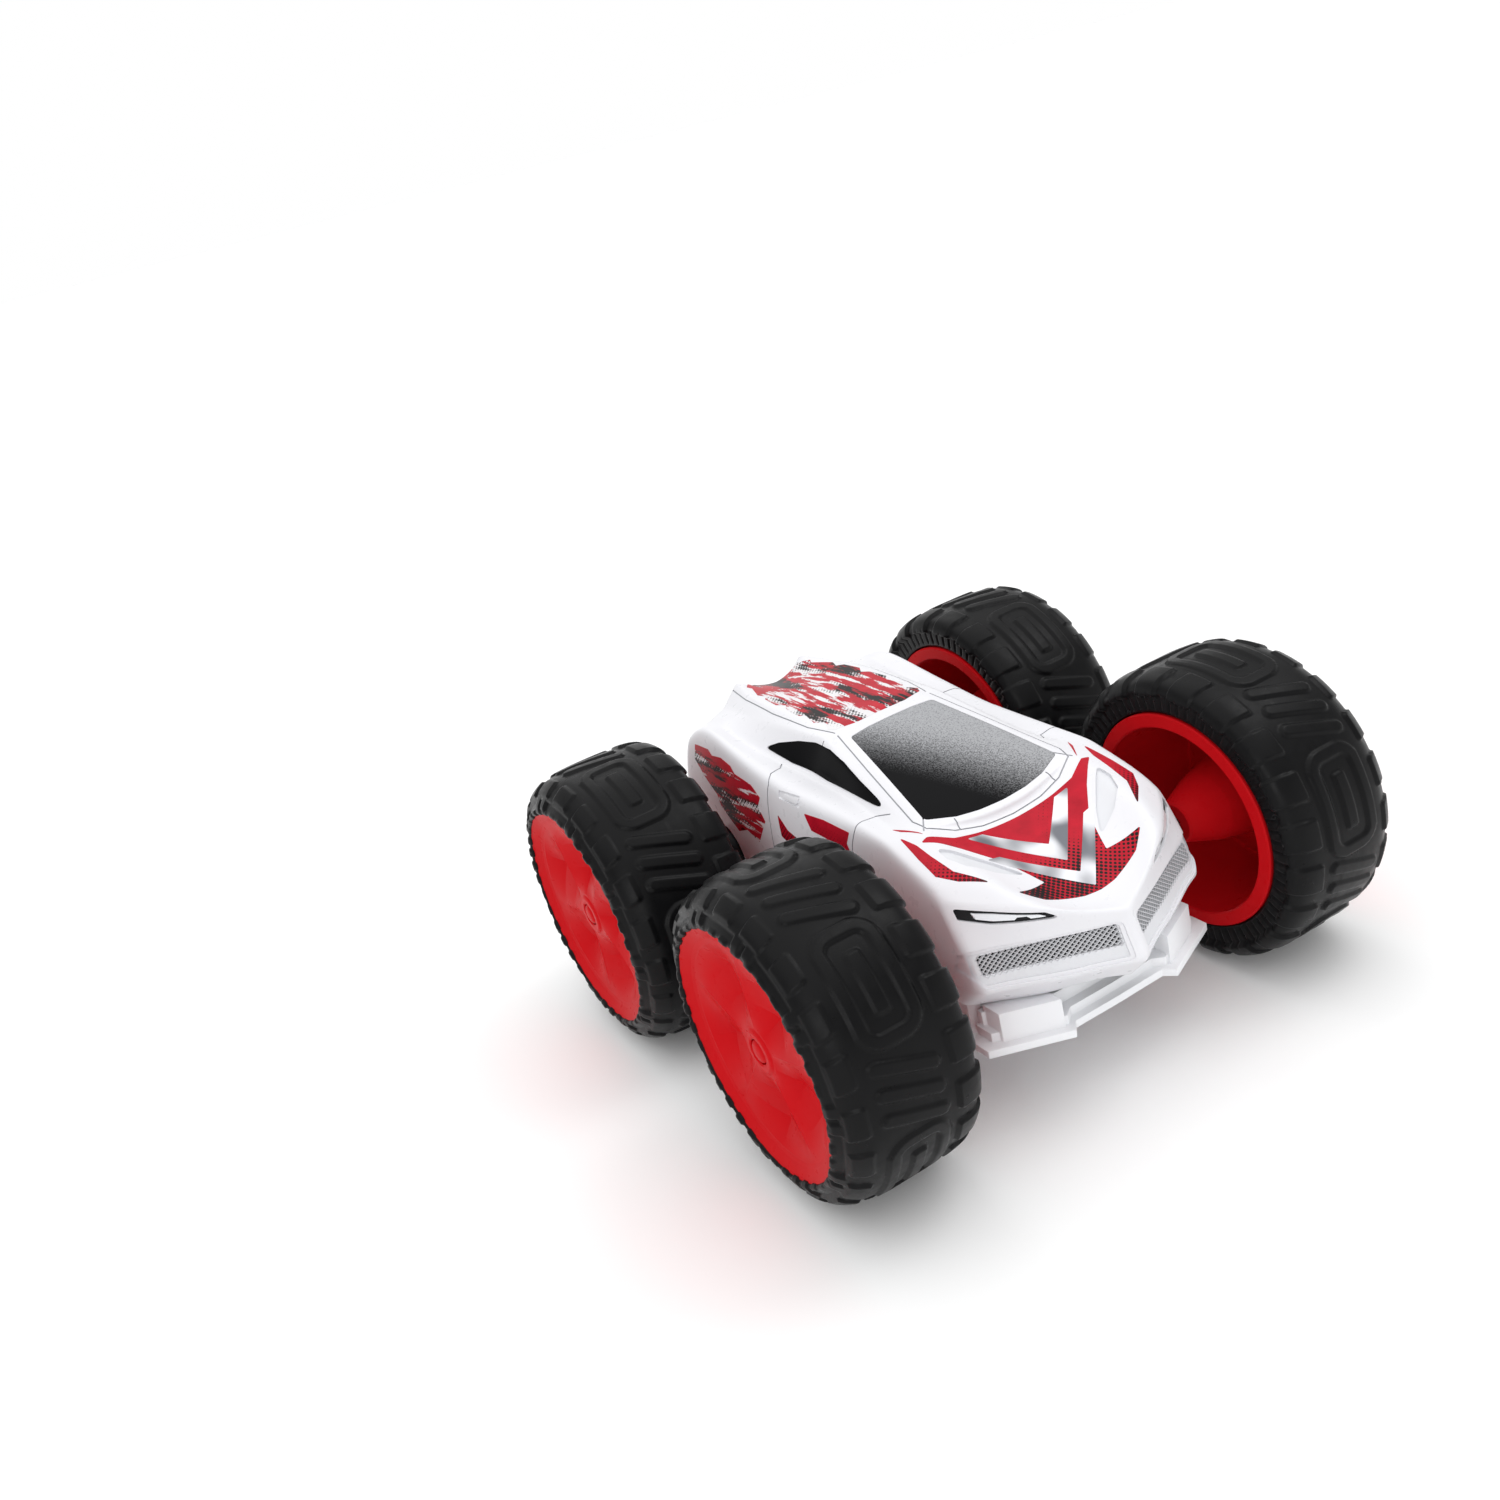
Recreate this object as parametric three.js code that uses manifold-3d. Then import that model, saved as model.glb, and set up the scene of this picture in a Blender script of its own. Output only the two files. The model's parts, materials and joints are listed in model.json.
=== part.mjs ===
// A 1:18 radio controlled stunt car: a light body shell between four oversized wheels. It steers like
// a tank: a motor on each side drives that side's two wheels through one train of gears.
// Millimetres. The origin is on the floor under the middle of the car. -Y is the front, +X the car's
// left side and +Z up.
import * as THREE from "three";
import { mergeVertices } from "three/addons/utils/BufferGeometryUtils.js";
import Module from "manifold-3d";

const wasm = await Module();
wasm.setup();

// ---- driving dimensions ----
const WHEEL_R = 45; // the tyre's largest radius, so also the axle height
const WHEELBASE = 105;
const WHEEL_IN = 54; // the wheel's inner face, from the car's middle plane
const WHEEL_OUT = 94.1; // the wheel's outer face
const GAP = 0.3; // clearance between pieces that meet
const SHELL_WALL = 1.8;
const SHELL_LOW = 36; // height of the body shell's lower edge
const TUB_LOW = 25; // the flat underside
const TUB_FLOOR = 1.6;
const TUB_WALL = 1.5;
const TUB_RIM = 36.9;

const AXLE_R = 1.5;
const BORE_R = 1.85; // bore of a piece on an axle or pin
const MODULE = 1.25;
const TEETH = { wheel: 16, idler: 22, centre: 24, pinion: 8 };
const GEAR_X = [26.4, 30.4]; // both faces of every gear
const TRAY_X = [23.6, 33.3]; // the gearbox tray, open towards the middle of the car
const TRAY_WALL = 1.4;
const COVER_X = [21.8, 23.3];
const BOSS_OUT = 49; // outer end of the axle boss
const BOSS_R = 6.8;
const MOTOR_Y = 12; // both motors sit above the centre gears, one ahead of the other
const MOTOR_Z = WHEEL_R + 16;
const MOTOR_R = 10;
const MOTOR_FLAT = 7.6;
const MOTOR_X = [-3.8, 21.2];

const POSTS = [[14, -60.5, 67], [14, 67, 86.2]]; // the shell's screw posts: x, y and top
const POST_R = 3;
const SCREW_R = 1.2;
const SLOT_Y = 53; // the power switch's slot in the floor
const SWITCH_TRAVEL = 3.5;

const AXLE_Z = WHEEL_R;
const AXLE_Y = WHEELBASE / 2;
const IDLER_Y = (MODULE * (TEETH.idler + TEETH.centre)) / 2;

// The body's lines: rails from the nose to the tail, each with the same eleven stations of x, y, z.
// The first six run along the top from the middle line out to the shoulder, the other three down
// the side.
const RAILS = [
  [[0, -90.3, 57], [0, -81.5, 58.8], [0, -66, 64.8], [0, -50, 70.8], [0, -46.6, 74.2], [0, -22, 81.9],
    [0, 4, 87.4], [0, 16, 88.3], [0, 40, 88.3], [0, 60, 86], [0, 73, 83.1]],
  [[8.5, -86.8, 58.6], [9, -80.3, 60], [9.5, -66, 65.2], [11, -49.6, 71.6], [11, -46, 74.8], [9.5, -22, 81.8],
    [8, 4, 87.4], [8.5, 15, 88.3], [9, 40, 88.4], [8.5, 60, 87], [7.5, 73.3, 85]],
  [[16, -83.4, 61.2], [17, -78.2, 63], [18.5, -65.5, 67.6], [22.8, -48.5, 74.4], [23.6, -43, 76.8], [19.8, -20, 82.3],
    [15.2, 4, 87.3], [15.8, 13, 88], [17.3, 40, 88.4], [16, 60, 88], [12.8, 75, 87.4]],
  [[23.5, -79.2, 63.6], [24.5, -72.5, 68.2], [25.5, -62, 71.5], [27, -48, 75.4], [27.3, -41, 76.8], [24.5, -18, 80.8],
    [21.3, 5, 86], [20.8, 14, 86.8], [22.4, 38, 86], [22, 58, 84.8], [20, 73.5, 82]],
  [[30.5, -73.2, 65], [31.5, -66.5, 69], [32.3, -58, 72], [32.6, -46, 75.2], [31.5, -38, 76.3], [28, -16, 77],
    [27, 5, 77.2], [27.2, 16, 78], [29.3, 38, 80.4], [29.5, 58, 83.2], [28, 72, 80]],
  [[37.2, -66, 65.6], [37.3, -61, 68.6], [37.2, -54, 71.2], [36.8, -44, 74.2], [36.5, -36, 75.6], [36.2, -15, 76.4],
    [36.3, 5, 76.9], [36.6, 17, 78], [36.4, 38, 81], [35.8, 58, 83.6], [36.4, 70, 78]],
  [[37.8, -73, 52.6], [38.6, -64, 56], [39, -54, 60], [39, -44, 63], [39, -35, 64.5], [39.2, -15, 65.5],
    [39.2, 5, 66], [39.2, 17, 67], [39.2, 38, 69], [38.8, 58, 70], [38.2, 74, 66]],
  [[38, -74, 44], [39, -63, 46], [39.6, -53, 48], [39.8, -43, 49], [39.8, -34, 50], [39.8, -15, 50],
    [39.8, 5, 50], [39.8, 17, 50], [39.8, 38, 50], [39.6, 58, 50], [38.4, 78, 50]],
  [[36.8, -65.6, 36], [37.6, -58, 36], [38, -50, 36], [38, -42, 36], [38, -33, 36], [38, -15, 36],
    [38, 5, 36], [38, 17, 36], [38, 38, 36], [38, 58, 36], [37, 76, 36]],
];
const TOP_RAILS = 6;
// The nose and the tail below their top edges: rows downwards, each from the middle line outwards.
const NOSE = [
  [[0, -92, 51.5], [8.5, -87.9, 51.8], [16.5, -84, 52], [24, -80.2, 52.2], [31, -76.7, 52.4]],
  [[0, -95, 43.5], [8.5, -90.3, 43.6], [17, -86.3, 43.7], [24.5, -82.3, 43.8], [31.5, -78.4, 43.9]],
  [[0, -88, 36], [7.5, -82.8, 36], [17.9, -78.4, 36], [25, -74.2, 36], [31.5, -69.8, 36]],
];
const TAIL = [
  [[0, 78, 68], [9, 78, 68], [16.5, 78, 67.5], [24, 77.4, 67], [31, 76.5, 66.5]],
  [[0, 80, 52], [9, 80, 52], [17, 80, 52], [25, 79.8, 51], [32, 79.4, 50.5]],
  [[0, 77, 36], [9, 77, 36], [17, 77, 36], [25, 77, 36], [32, 76.8, 36]],
];

// ---- materials ----
const finish = (color, roughness, metalness = 0) => () =>
  new THREE.MeshStandardMaterial({ color, roughness, metalness });
const WHITE = finish(0xf1f1f2, 0.3);
const GREY = finish(0xd6d7d9, 0.4);
const GLASS = finish(0x17181a, 0.15);
const MESH = finish(0x3a3a3c, 0.5);
const LENS = finish(0xf4f6f8, 0.1);
const RED_LENS = finish(0xb0101a, 0.15);
const RED = finish(0xd3141c, 0.28);
const TYRE = finish(0x1b1b1c, 0.75);
const DARK = finish(0x2b2c2e, 0.5);
const NYLON = finish(0xe9e6dc, 0.5);
const STEEL = finish(0xb9bcc0, 0.3, 1);
const BOARD = finish(0x1f6b3c, 0.5);
const WRAP = finish(0x2456a8, 0.35);

// ---- shapes ----
// The signed volume tells whether the faces of a closed triangle mesh point out.
function signedVolume(position, index) {
  const [a, b, c] = [new THREE.Vector3(), new THREE.Vector3(), new THREE.Vector3()];
  let sum = 0;
  for (let i = 0; i < index.length; i += 3) {
    a.fromBufferAttribute(position, index[i]);
    b.fromBufferAttribute(position, index[i + 1]);
    c.fromBufferAttribute(position, index[i + 2]);
    sum += a.dot(b.cross(c));
  }
  return sum / 6;
}

// A closed geometry as a solid with its faces pointing out.
function solid(geometry) {
  const bare = new THREE.BufferGeometry();
  bare.setAttribute("position", geometry.getAttribute("position").clone());
  if (geometry.index) bare.setIndex(geometry.index);
  const merged = mergeVertices(bare, 1e-4);
  const triVerts = new Uint32Array(merged.index.array);
  if (signedVolume(merged.getAttribute("position"), triVerts) < 0) triVerts.reverse();
  const vertProperties = merged.getAttribute("position").array;
  return new wasm.Manifold(new wasm.Mesh({ numProp: 3, vertProperties, triVerts }));
}

function geometryOf(body) {
  const mesh = body.getMesh();
  const geometry = new THREE.BufferGeometry();
  geometry.setAttribute("position", new THREE.BufferAttribute(new Float32Array(mesh.vertProperties), 3));
  geometry.setIndex(new THREE.BufferAttribute(new Uint32Array(mesh.triVerts), 1));
  const flat = geometry.toNonIndexed();
  flat.computeVertexNormals();
  return flat;
}

const union = (...bodies) => bodies.reduce((whole, body) => whole.add(body));
const cut = (body, ...tools) => tools.reduce((rest, tool) => rest.subtract(tool), body);

// A box from its two ends along each axis.
function box([x0, x1], [y0, y1], [z0, z1]) {
  const geometry = new THREE.BoxGeometry(x1 - x0, y1 - y0, z1 - z0);
  geometry.translate((x0 + x1) / 2, (y0 + y1) / 2, (z0 + z1) / 2);
  return solid(geometry);
}

// Turns a geometry made along Z so that its x, y and z point along the world's Y, Z and X.
const ALONG_X = new THREE.Matrix4().makeBasis(
  new THREE.Vector3(0, 1, 0), new THREE.Vector3(0, 0, 1), new THREE.Vector3(1, 0, 0));
// Turns a geometry made along Z so that its x, y and z point along the world's X, Z and -Y.
const ALONG_Y = new THREE.Matrix4().makeBasis(
  new THREE.Vector3(1, 0, 0), new THREE.Vector3(0, 0, 1), new THREE.Vector3(0, -1, 0));

// A flat outline, with holes, extruded between two heights along an axis.
function prism(outline, [low, high], axis = "z", holes = []) {
  const shape = new THREE.Shape(outline.map(([a, b]) => new THREE.Vector2(a, b)));
  shape.holes = holes.map((hole) => new THREE.Path(hole.map(([a, b]) => new THREE.Vector2(a, b))));
  const geometry = new THREE.ExtrudeGeometry(shape, { depth: high - low, bevelEnabled: false });
  geometry.translate(0, 0, axis === "y" ? -high : low);
  if (axis === "x") geometry.applyMatrix4(ALONG_X);
  if (axis === "y") geometry.applyMatrix4(ALONG_Y);
  return solid(geometry);
}

// Points round a circle, with one point straight down.
function circle(a, b, r, sides) {
  return Array.from({ length: sides }, (_, i) => {
    const turn = (2 * Math.PI * i) / sides - Math.PI / 2;
    return [a + r * Math.cos(turn), b + r * Math.sin(turn)];
  });
}

const rodX = (r, ends, y, z, sides = 12) => prism(circle(y, z, r, sides), ends, "x");
const rodZ = (r, ends, x, y, sides = 12) => prism(circle(x, y, r, sides), ends);
const mirrorOutline = (half) => [...half, ...half.filter(([x]) => x > 0).reverse().map(([x, y]) => [-x, y])];

// The convex outline round a list of circles.
function hullOutline(circles, inset = 0) {
  const points = circles.flatMap(([y, z, r]) => circle(y, z, r - inset, 16));
  points.sort((p, q) => p[0] - q[0] || p[1] - q[1]);
  const turn = (o, p, q) => (p[0] - o[0]) * (q[1] - o[1]) - (p[1] - o[1]) * (q[0] - o[0]);
  const chain = (list) => {
    const kept = [];
    for (const point of list) {
      while (kept.length > 1 && turn(kept.at(-2), kept.at(-1), point) <= 0.05) kept.pop();
      kept.push(point);
    }
    return kept.slice(0, -1);
  };
  return [...chain(points), ...chain(points.reverse())];
}

// A profile of [x, radius] points turned round the X axis.
function turned(profile, sides) {
  const points = [...profile, profile[0]].map(([x, r]) => new THREE.Vector2(r, x));
  const geometry = new THREE.LatheGeometry(points, sides);
  geometry.applyMatrix4(new THREE.Matrix4().makeBasis(
    new THREE.Vector3(0, 0, -1), new THREE.Vector3(1, 0, 0), new THREE.Vector3(0, -1, 0)));
  return solid(geometry);
}

// ---- the body's skin ----
// Rows of points down the nose or the tail, closed off at the corner by the side rails.
function endRows(station, rows) {
  const top = RAILS.slice(0, TOP_RAILS).map((rail) => rail.at(station));
  const below = rows.map((row, i) => [...row, RAILS[TOP_RAILS + i].at(station)]);
  return [top, ...below];
}

// Every quad of one half of the skin, as four corner points each.
function skinQuads() {
  const quads = [];
  for (const grid of [RAILS, endRows(0, NOSE), endRows(-1, TAIL)])
    for (let i = 0; i + 1 < grid.length; i++)
      for (let j = 0; j + 1 < grid[i].length; j++)
        quads.push([grid[i][j], grid[i][j + 1], grid[i + 1][j + 1], grid[i + 1][j]]);
  return quads;
}

const key = (p) => p.map((v) => v.toFixed(3)).join(",");

// The skin pushed in by a wall thickness, closed by a flat bottom at the given height.
function skinSolid(inset, bottom) {
  const normals = new Map();
  const faces = [];
  const middle = new THREE.Vector3(0, -5, 50);
  for (const quad of skinQuads())
    for (const side of [1, -1]) {
      const corners = quad.map(([x, y, z]) => [side * x, y, z]);
      const [a, b, c, d] = corners.map((p) => new THREE.Vector3(...p));
      const normal = c.clone().sub(a).cross(d.clone().sub(b)).normalize();
      if (normal.dot(a.clone().add(c).sub(middle).sub(middle)) < 0) normal.negate();
      for (const corner of corners) {
        const sum = normals.get(key(corner)) ?? new THREE.Vector3();
        normals.set(key(corner), sum.add(normal));
      }
      faces.push([corners[0], corners[1], corners[2]], [corners[0], corners[2], corners[3]]);
    }
  const lowest = [...endRows(0, NOSE).at(-1), ...RAILS.at(-1), ...endRows(-1, TAIL).at(-1).reverse()];
  const rim = mirrorOutline(lowest.map(([x, y]) => [x, y]).filter((p, i, all) => i === 0 || key(p) !== key(all[i - 1])));
  rim.forEach((p, i) => {
    const next = rim[(i + 1) % rim.length];
    faces.push([[...p, SHELL_LOW], [...next, SHELL_LOW], [0, 0, SHELL_LOW]]);
  });
  const place = (corner) => {
    const point = new THREE.Vector3(...corner);
    const sum = normals.get(key(corner));
    const low = Math.abs(corner[2] - SHELL_LOW) < 1e-6;
    if (sum) {
      const out = sum.clone();
      if (low) out.z = 0;
      if (Math.abs(corner[0]) < 1e-6) out.x = 0;
      point.addScaledVector(out.normalize(), -inset);
    }
    if (low) point.z = bottom;
    return point.toArray();
  };
  // Each face is wound to point away from the middle of the car.
  const positions = faces.flatMap((face) => {
    const [a, b, c] = face.map((p) => new THREE.Vector3(...p));
    const normal = b.clone().sub(a).cross(c.clone().sub(a));
    const outwards = normal.dot(a.clone().add(b).add(c).divideScalar(3).sub(middle)) > 0;
    return (outwards ? face : [face[0], face[2], face[1]]).flatMap(place);
  });
  const geometry = new THREE.BufferGeometry();
  geometry.setAttribute("position", new THREE.BufferAttribute(new Float32Array(positions), 3));
  return solid(geometry);
}

// Openings in the shell and the panels that fill them. Each outline is drawn on the plane that its
// axis is normal to, and its reach is the stretch of that axis that it cuts.
const mirrorX = (outline) => outline.map(([x, b]) => [-x, b]).reverse();
const SIDE_WINDOW = [[-30, 78], [2, 77.8], [20, 78.9], [34, 80.8], [24, 83.6], [12, 85.4], [4, 85.2], [-12, 81.6]];
const GRILLE = [[3.4, 48], [35.8, 48.6], [35.8, 53.4], [3.4, 53.4]];
const HEADLIGHT = [[15.8, 59.4], [30, 61], [36, 62.8], [36, 65.4], [29, 64], [19, 61.6]];
const TAILLIGHT = [[19, 60], [34, 62], [34, 66], [19, 64.5]];
const WINDSHIELD = mirrorOutline([[0, -45.8], [14, -44.8], [23, -41.6], [14.8, 3], [8, 3.4], [0, 3.6]]);
const REAR_WINDOW = mirrorOutline([[0, 70], [14, 70], [10.5, 79.5], [0, 79.5]]);
const PANELS = [
  { name: "windshield", outline: WINDSHIELD, axis: "z", reach: [60, 100], paint: GLASS },
  { name: "rear_window", outline: REAR_WINDOW, axis: "y", reach: [60, 100], paint: GLASS },
  { name: "side_window_left", outline: SIDE_WINDOW, axis: "x", reach: [20.7, 29.2], paint: GLASS },
  { name: "side_window_right", outline: SIDE_WINDOW, axis: "x", reach: [-29.2, -20.7], paint: GLASS },
  { name: "grille_left", outline: GRILLE, axis: "y", reach: [-100, -60], paint: MESH },
  { name: "grille_right", outline: mirrorX(GRILLE), axis: "y", reach: [-100, -60], paint: MESH },
  { name: "headlight_left", outline: HEADLIGHT, axis: "y", reach: [-100, -56], paint: LENS },
  { name: "headlight_right", outline: mirrorX(HEADLIGHT), axis: "y", reach: [-100, -56], paint: LENS },
  { name: "taillight_left", outline: TAILLIGHT, axis: "y", reach: [60, 100], paint: RED_LENS },
  { name: "taillight_right", outline: mirrorX(TAILLIGHT), axis: "y", reach: [60, 100], paint: RED_LENS },
];

// An outline moved out by a distance, edge by edge, for an outline drawn anticlockwise.
function grown(outline, distance) {
  const area = outline.reduce((sum, [a, b], i) => {
    const [c, d] = outline[(i + 1) % outline.length];
    return sum + a * d - b * c;
  }, 0);
  const side = area > 0 ? 1 : -1;
  return outline.map((point, i) => {
    const before = outline.at(i - 1);
    const after = outline[(i + 1) % outline.length];
    const normal = (p, q) => new THREE.Vector2(q[1] - p[1], p[0] - q[0]).normalize().multiplyScalar(side);
    const [n, m] = [normal(before, point), normal(point, after)];
    const scale = distance / Math.max(0.35, (1 + n.dot(m)) / 2) / 2;
    return [point[0] + scale * (n.x + m.x), point[1] + scale * (n.y + m.y)];
  });
}

// ---- assembly ----
const car = new THREE.Group();

function addPiece(name, body, paint) {
  const mesh = new THREE.Mesh(geometryOf(body), paint());
  mesh.name = name;
  car.add(mesh);
}

// The body shell: a thin skin open underneath, with slots for the axle bosses and four screw posts.
function addShell() {
  const skin = cut(skinSolid(0, SHELL_LOW), skinSolid(SHELL_WALL, SHELL_LOW - 3));
  let shell = skin;
  for (const { name, outline, axis, reach, paint } of PANELS) {
    addPiece(name, prism(grown(outline, -GAP / 2), reach, axis).intersect(skin), paint);
    shell = cut(shell, prism(grown(outline, GAP / 2), reach, axis));
  }
  const slotR = BOSS_R + 1.7;
  for (const y of [-AXLE_Y, AXLE_Y]) {
    const arch = circle(0, 0, slotR, 16).filter(([, b]) => b > -0.1 * slotR);
    const slot = [[slotR, -AXLE_Z], ...arch, [-slotR, -AXLE_Z]].map(([a, b]) => [y + a, AXLE_Z + b]);
    shell = cut(shell, prism(slot, [-45, 45], "x"));
  }
  for (const [x, y, top] of POSTS)
    for (const side of [1, -1]) {
      const bottom = TUB_LOW + TUB_FLOOR + GAP;
      const post = rodZ(POST_R, [bottom, top], side * x, y, 10);
      shell = cut(shell.add(post), rodZ(SCREW_R + GAP, [bottom - 1, bottom + 12], side * x, y, 8));
    }
  addPiece("body_shell", shell, WHITE);
}

// The tub: a flat tray that carries everything inside, with openings for the battery and the switch.
function addTub() {
  const outline = (inset) =>
    mirrorOutline([[0, -66 + inset], [32.8 - inset / 2, -66 + inset], [35.2 - inset, -63.4 + inset / 2],
      [35.2 - inset, 68 - inset / 2], [31 - inset / 2, 72.5 - inset], [0, 72.5 - inset]]);
  const floor = TUB_LOW + TUB_FLOOR;
  let tub = cut(prism(outline(0), [TUB_LOW, TUB_RIM]), prism(outline(TUB_WALL), [floor, TUB_RIM + 5]));
  tub = cut(tub, box([-17, 17], [-29, 29], [TUB_LOW - 1, floor + 1]));
  tub = cut(tub, box([-4.6, 4.6], [SLOT_Y - 2.4, SLOT_Y + 2.4], [TUB_LOW - 1, floor + 1]));
  for (const [x, y] of POSTS)
    for (const side of [1, -1]) {
      tub = cut(tub, rodZ(SCREW_R + GAP, [TUB_LOW - 1, floor + 1], side * x, y, 8));
      tub = cut(tub, rodZ(3, [TUB_LOW - 1, TUB_LOW + 1], side * x, y, 10));
      addPiece(`chassis_screw_${y < 0 ? "front" : "rear"}_${side > 0 ? "left" : "right"}`,
        union(rodZ(2.6, [TUB_LOW + 0.1, TUB_LOW + 0.9], side * x, y, 10),
          rodZ(SCREW_R, [TUB_LOW + 0.5, floor + 11], side * x, y, 8)), STEEL);
    }
  // Four ledges carry the circuit board.
  for (const x of [-15, 15])
    for (const y of [-53, -35])
      tub = tub.add(box([x - 1.5, x + 1.5], [y - 1.5, y + 1.5], [floor - 0.5, 44.7]));
  // A lip round the battery opening holds the door's screw.
  tub = tub.add(box([-3.5, 3.5], [29, 35], [floor - 0.5, 33]));
  tub = cut(tub, rodZ(SCREW_R + GAP, [TUB_LOW - 1, 32], 0, 32, 8));
  tub = cut(tub, box([-3.6, 3.6], [28, 35.4], [TUB_LOW - 1, TUB_LOW + 1.1]));
  addPiece("chassis_tub", tub, GREY);
}

function addBattery() {
  const tab = box([-3.3, 3.3], [28, 35.1], [TUB_LOW, TUB_LOW + 0.8]);
  let door = box([-16.7, 16.7], [-28.7, 28.7], [TUB_LOW, TUB_LOW + 1.6]);
  for (const y of [-18, -9, 0, 9, 18])
    door = cut(door, box([-12, 12], [y - 1, y + 1], [TUB_LOW - 1, TUB_LOW + 0.5]));
  door = cut(door.add(tab), rodZ(SCREW_R + GAP, [TUB_LOW - 1, TUB_LOW + 2], 0, 32, 8));
  addPiece("battery_door", door, GREY);
  const head = rodZ(2.6, [TUB_LOW - 1, TUB_LOW - 0.3], 0, 32, 10);
  addPiece("battery_door_screw", head.add(rodZ(SCREW_R, [TUB_LOW - 0.5, 31.5], 0, 32, 8)), STEEL);
  // Two round cells side by side in one shrink wrap.
  const [cellR, cellZ] = [7, 35.2];
  const ends = [cellR, -cellR].map((x) => prism(circle(x, cellZ, cellR - 0.8, 12), [-25.5, 25.5], "y"));
  const wrap = prism(hullOutline([[cellR, cellZ, cellR], [-cellR, cellZ, cellR]]), [-24.5, 24.5], "y");
  addPiece("battery_pack", union(wrap, ...ends), WRAP);
}

function addElectronics() {
  const [low, high] = [45, 46.4];
  const board = box([-18, 18], [-56, -32], [low, high]);
  const chip = box([-6, 4], [-50, -42], [high - 0.2, high + 1.4]);
  const can = rodZ(2.5, [high - 0.2, high + 5], 11, -38, 10);
  const plug = box([-15, -8], [-38, -33.5], [high - 0.2, high + 4]);
  addPiece("circuit_board", union(board, chip, can, plug), BOARD);
  const top = TUB_LOW + TUB_FLOOR + GAP;
  addPiece("switch_housing", box([-8, 8], [SLOT_Y - 5.5, SLOT_Y + 5.5], [top, top + 6.5]), DARK);
  // The knob rests at the off end of its slot.
  const knob = box([-4.2, -4.2 + 8.4 - SWITCH_TRAVEL], [SLOT_Y - 2, SLOT_Y + 2], [TUB_LOW + 0.4, top - GAP]);
  addPiece("power_switch", knob.add(box([-2.6, -1], [SLOT_Y - 2, SLOT_Y + 2], [TUB_LOW - 0.6, TUB_LOW + 1])), DARK);
}

// The front splitter: a notched lip, a step set back above it, and two raised blocks.
function addBumpers() {
  const lip = mirrorOutline([[0, -82], [15.2, -81.8], [17.8, -84.9], [38.9, -75], [39, -69], [36, -66.4], [0, -66.4]]);
  const step = mirrorOutline([[0, -79.5], [14.4, -79.3], [17.2, -81.6], [35.6, -72.8], [35.6, -66.4], [0, -66.4]]);
  const ridge = mirrorOutline([[0, -76.5], [16, -76.3], [34.5, -68.5], [34.5, -66.4], [0, -66.4]]);
  let front = union(prism(lip, [24.5, 26.8]), prism(step, [26.5, 29.5]), prism(ridge, [29, 33.5]));
  let rear = union(
    prism(mirrorOutline([[0, 81], [14, 81], [17, 83.5], [36, 77.5], [36, 73], [0, 73]]), [25, 27.5]),
    prism(mirrorOutline([[0, 78.5], [16, 78.5], [35, 74.5], [35, 73], [0, 73]]), [27, 34]));
  for (const side of [1, -1]) {
    const block = [[18.5, -82], [33.5, -74.8], [33.5, -68], [18.5, -68]].map(([x, y]) => [side * x, y]);
    front = front.add(prism(block, [26.5, 35.4]));
    const fin = [[19, 75], [31, 75], [31, 78.5], [19, 81.5]].map(([x, y]) => [side * x, y]);
    rear = rear.add(prism(fin, [27, 35.4]));
  }
  addPiece("front_bumper", front, GREY);
  addPiece("rear_bumper", rear, GREY);
}

// A spur gear along X with straight flanks. The first tooth points at the given angle from +Y to +Z.
function gear(teeth, bore, y, z, phase) {
  const pitchR = (MODULE * teeth) / 2;
  const [tipR, rootR, tipHalf] = [pitchR + 0.8 * MODULE, pitchR - 1.7 * MODULE, (0.25 * MODULE) / pitchR];
  const outline = [];
  for (let i = 0; i < teeth; i++) {
    const angle = phase + (2 * Math.PI * i) / teeth;
    for (const [r, offset] of [[tipR, -tipHalf], [tipR, tipHalf], [rootR, Math.PI / teeth]])
      outline.push([y + r * Math.cos(angle + offset), z + r * Math.sin(angle + offset)]);
  }
  return prism(outline, GEAR_X, "x", [circle(y, z, bore, 10).reverse()]);
}

// The phase that puts a follower's gap on a driver's tooth, or its tooth on a gap, for gears whose
// line of centres points at the given angle from the driver to the follower.
function meshedPhase(driverTeeth, driverPhase, followerTeeth, angle) {
  const driverPitch = (2 * Math.PI) / driverTeeth;
  const followerPitch = (2 * Math.PI) / followerTeeth;
  const past = (angle - driverPhase) / driverPitch;
  return angle + Math.PI + followerPitch * (past + 0.5);
}

// The five gears of one side and the pinion, all placed by their neighbours.
const SIDES = [
  { name: "left", side: 1, motorY: MOTOR_Y },
  { name: "right", side: -1, motorY: -MOTOR_Y },
];

function gearTrain(motorY) {
  const train = [{ name: "centre_gear", teeth: TEETH.centre, y: 0, z: AXLE_Z, phase: 0 }];
  const add = (name, teeth, driver, y, z) => {
    const angle = Math.atan2(z - driver.z, y - driver.y);
    train.push({ name, teeth, y, z, phase: meshedPhase(driver.teeth, driver.phase, teeth, angle) });
    return train.at(-1);
  };
  for (const [end, way] of [["front", -1], ["rear", 1]]) {
    const idler = add(`idler_gear_${end}`, TEETH.idler, train[0], way * IDLER_Y, AXLE_Z);
    add(`drive_gear_${end}`, TEETH.wheel, idler, way * AXLE_Y, AXLE_Z);
  }
  add("motor_pinion", TEETH.pinion, train[0], motorY, MOTOR_Z);
  return train;
}

// A piece made for the left side is mirrored for the right.
function onSide(body, side) {
  if (side > 0) return body;
  const geometry = geometryOf(body);
  geometry.scale(-1, 1, 1);
  return solid(geometry);
}

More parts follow.
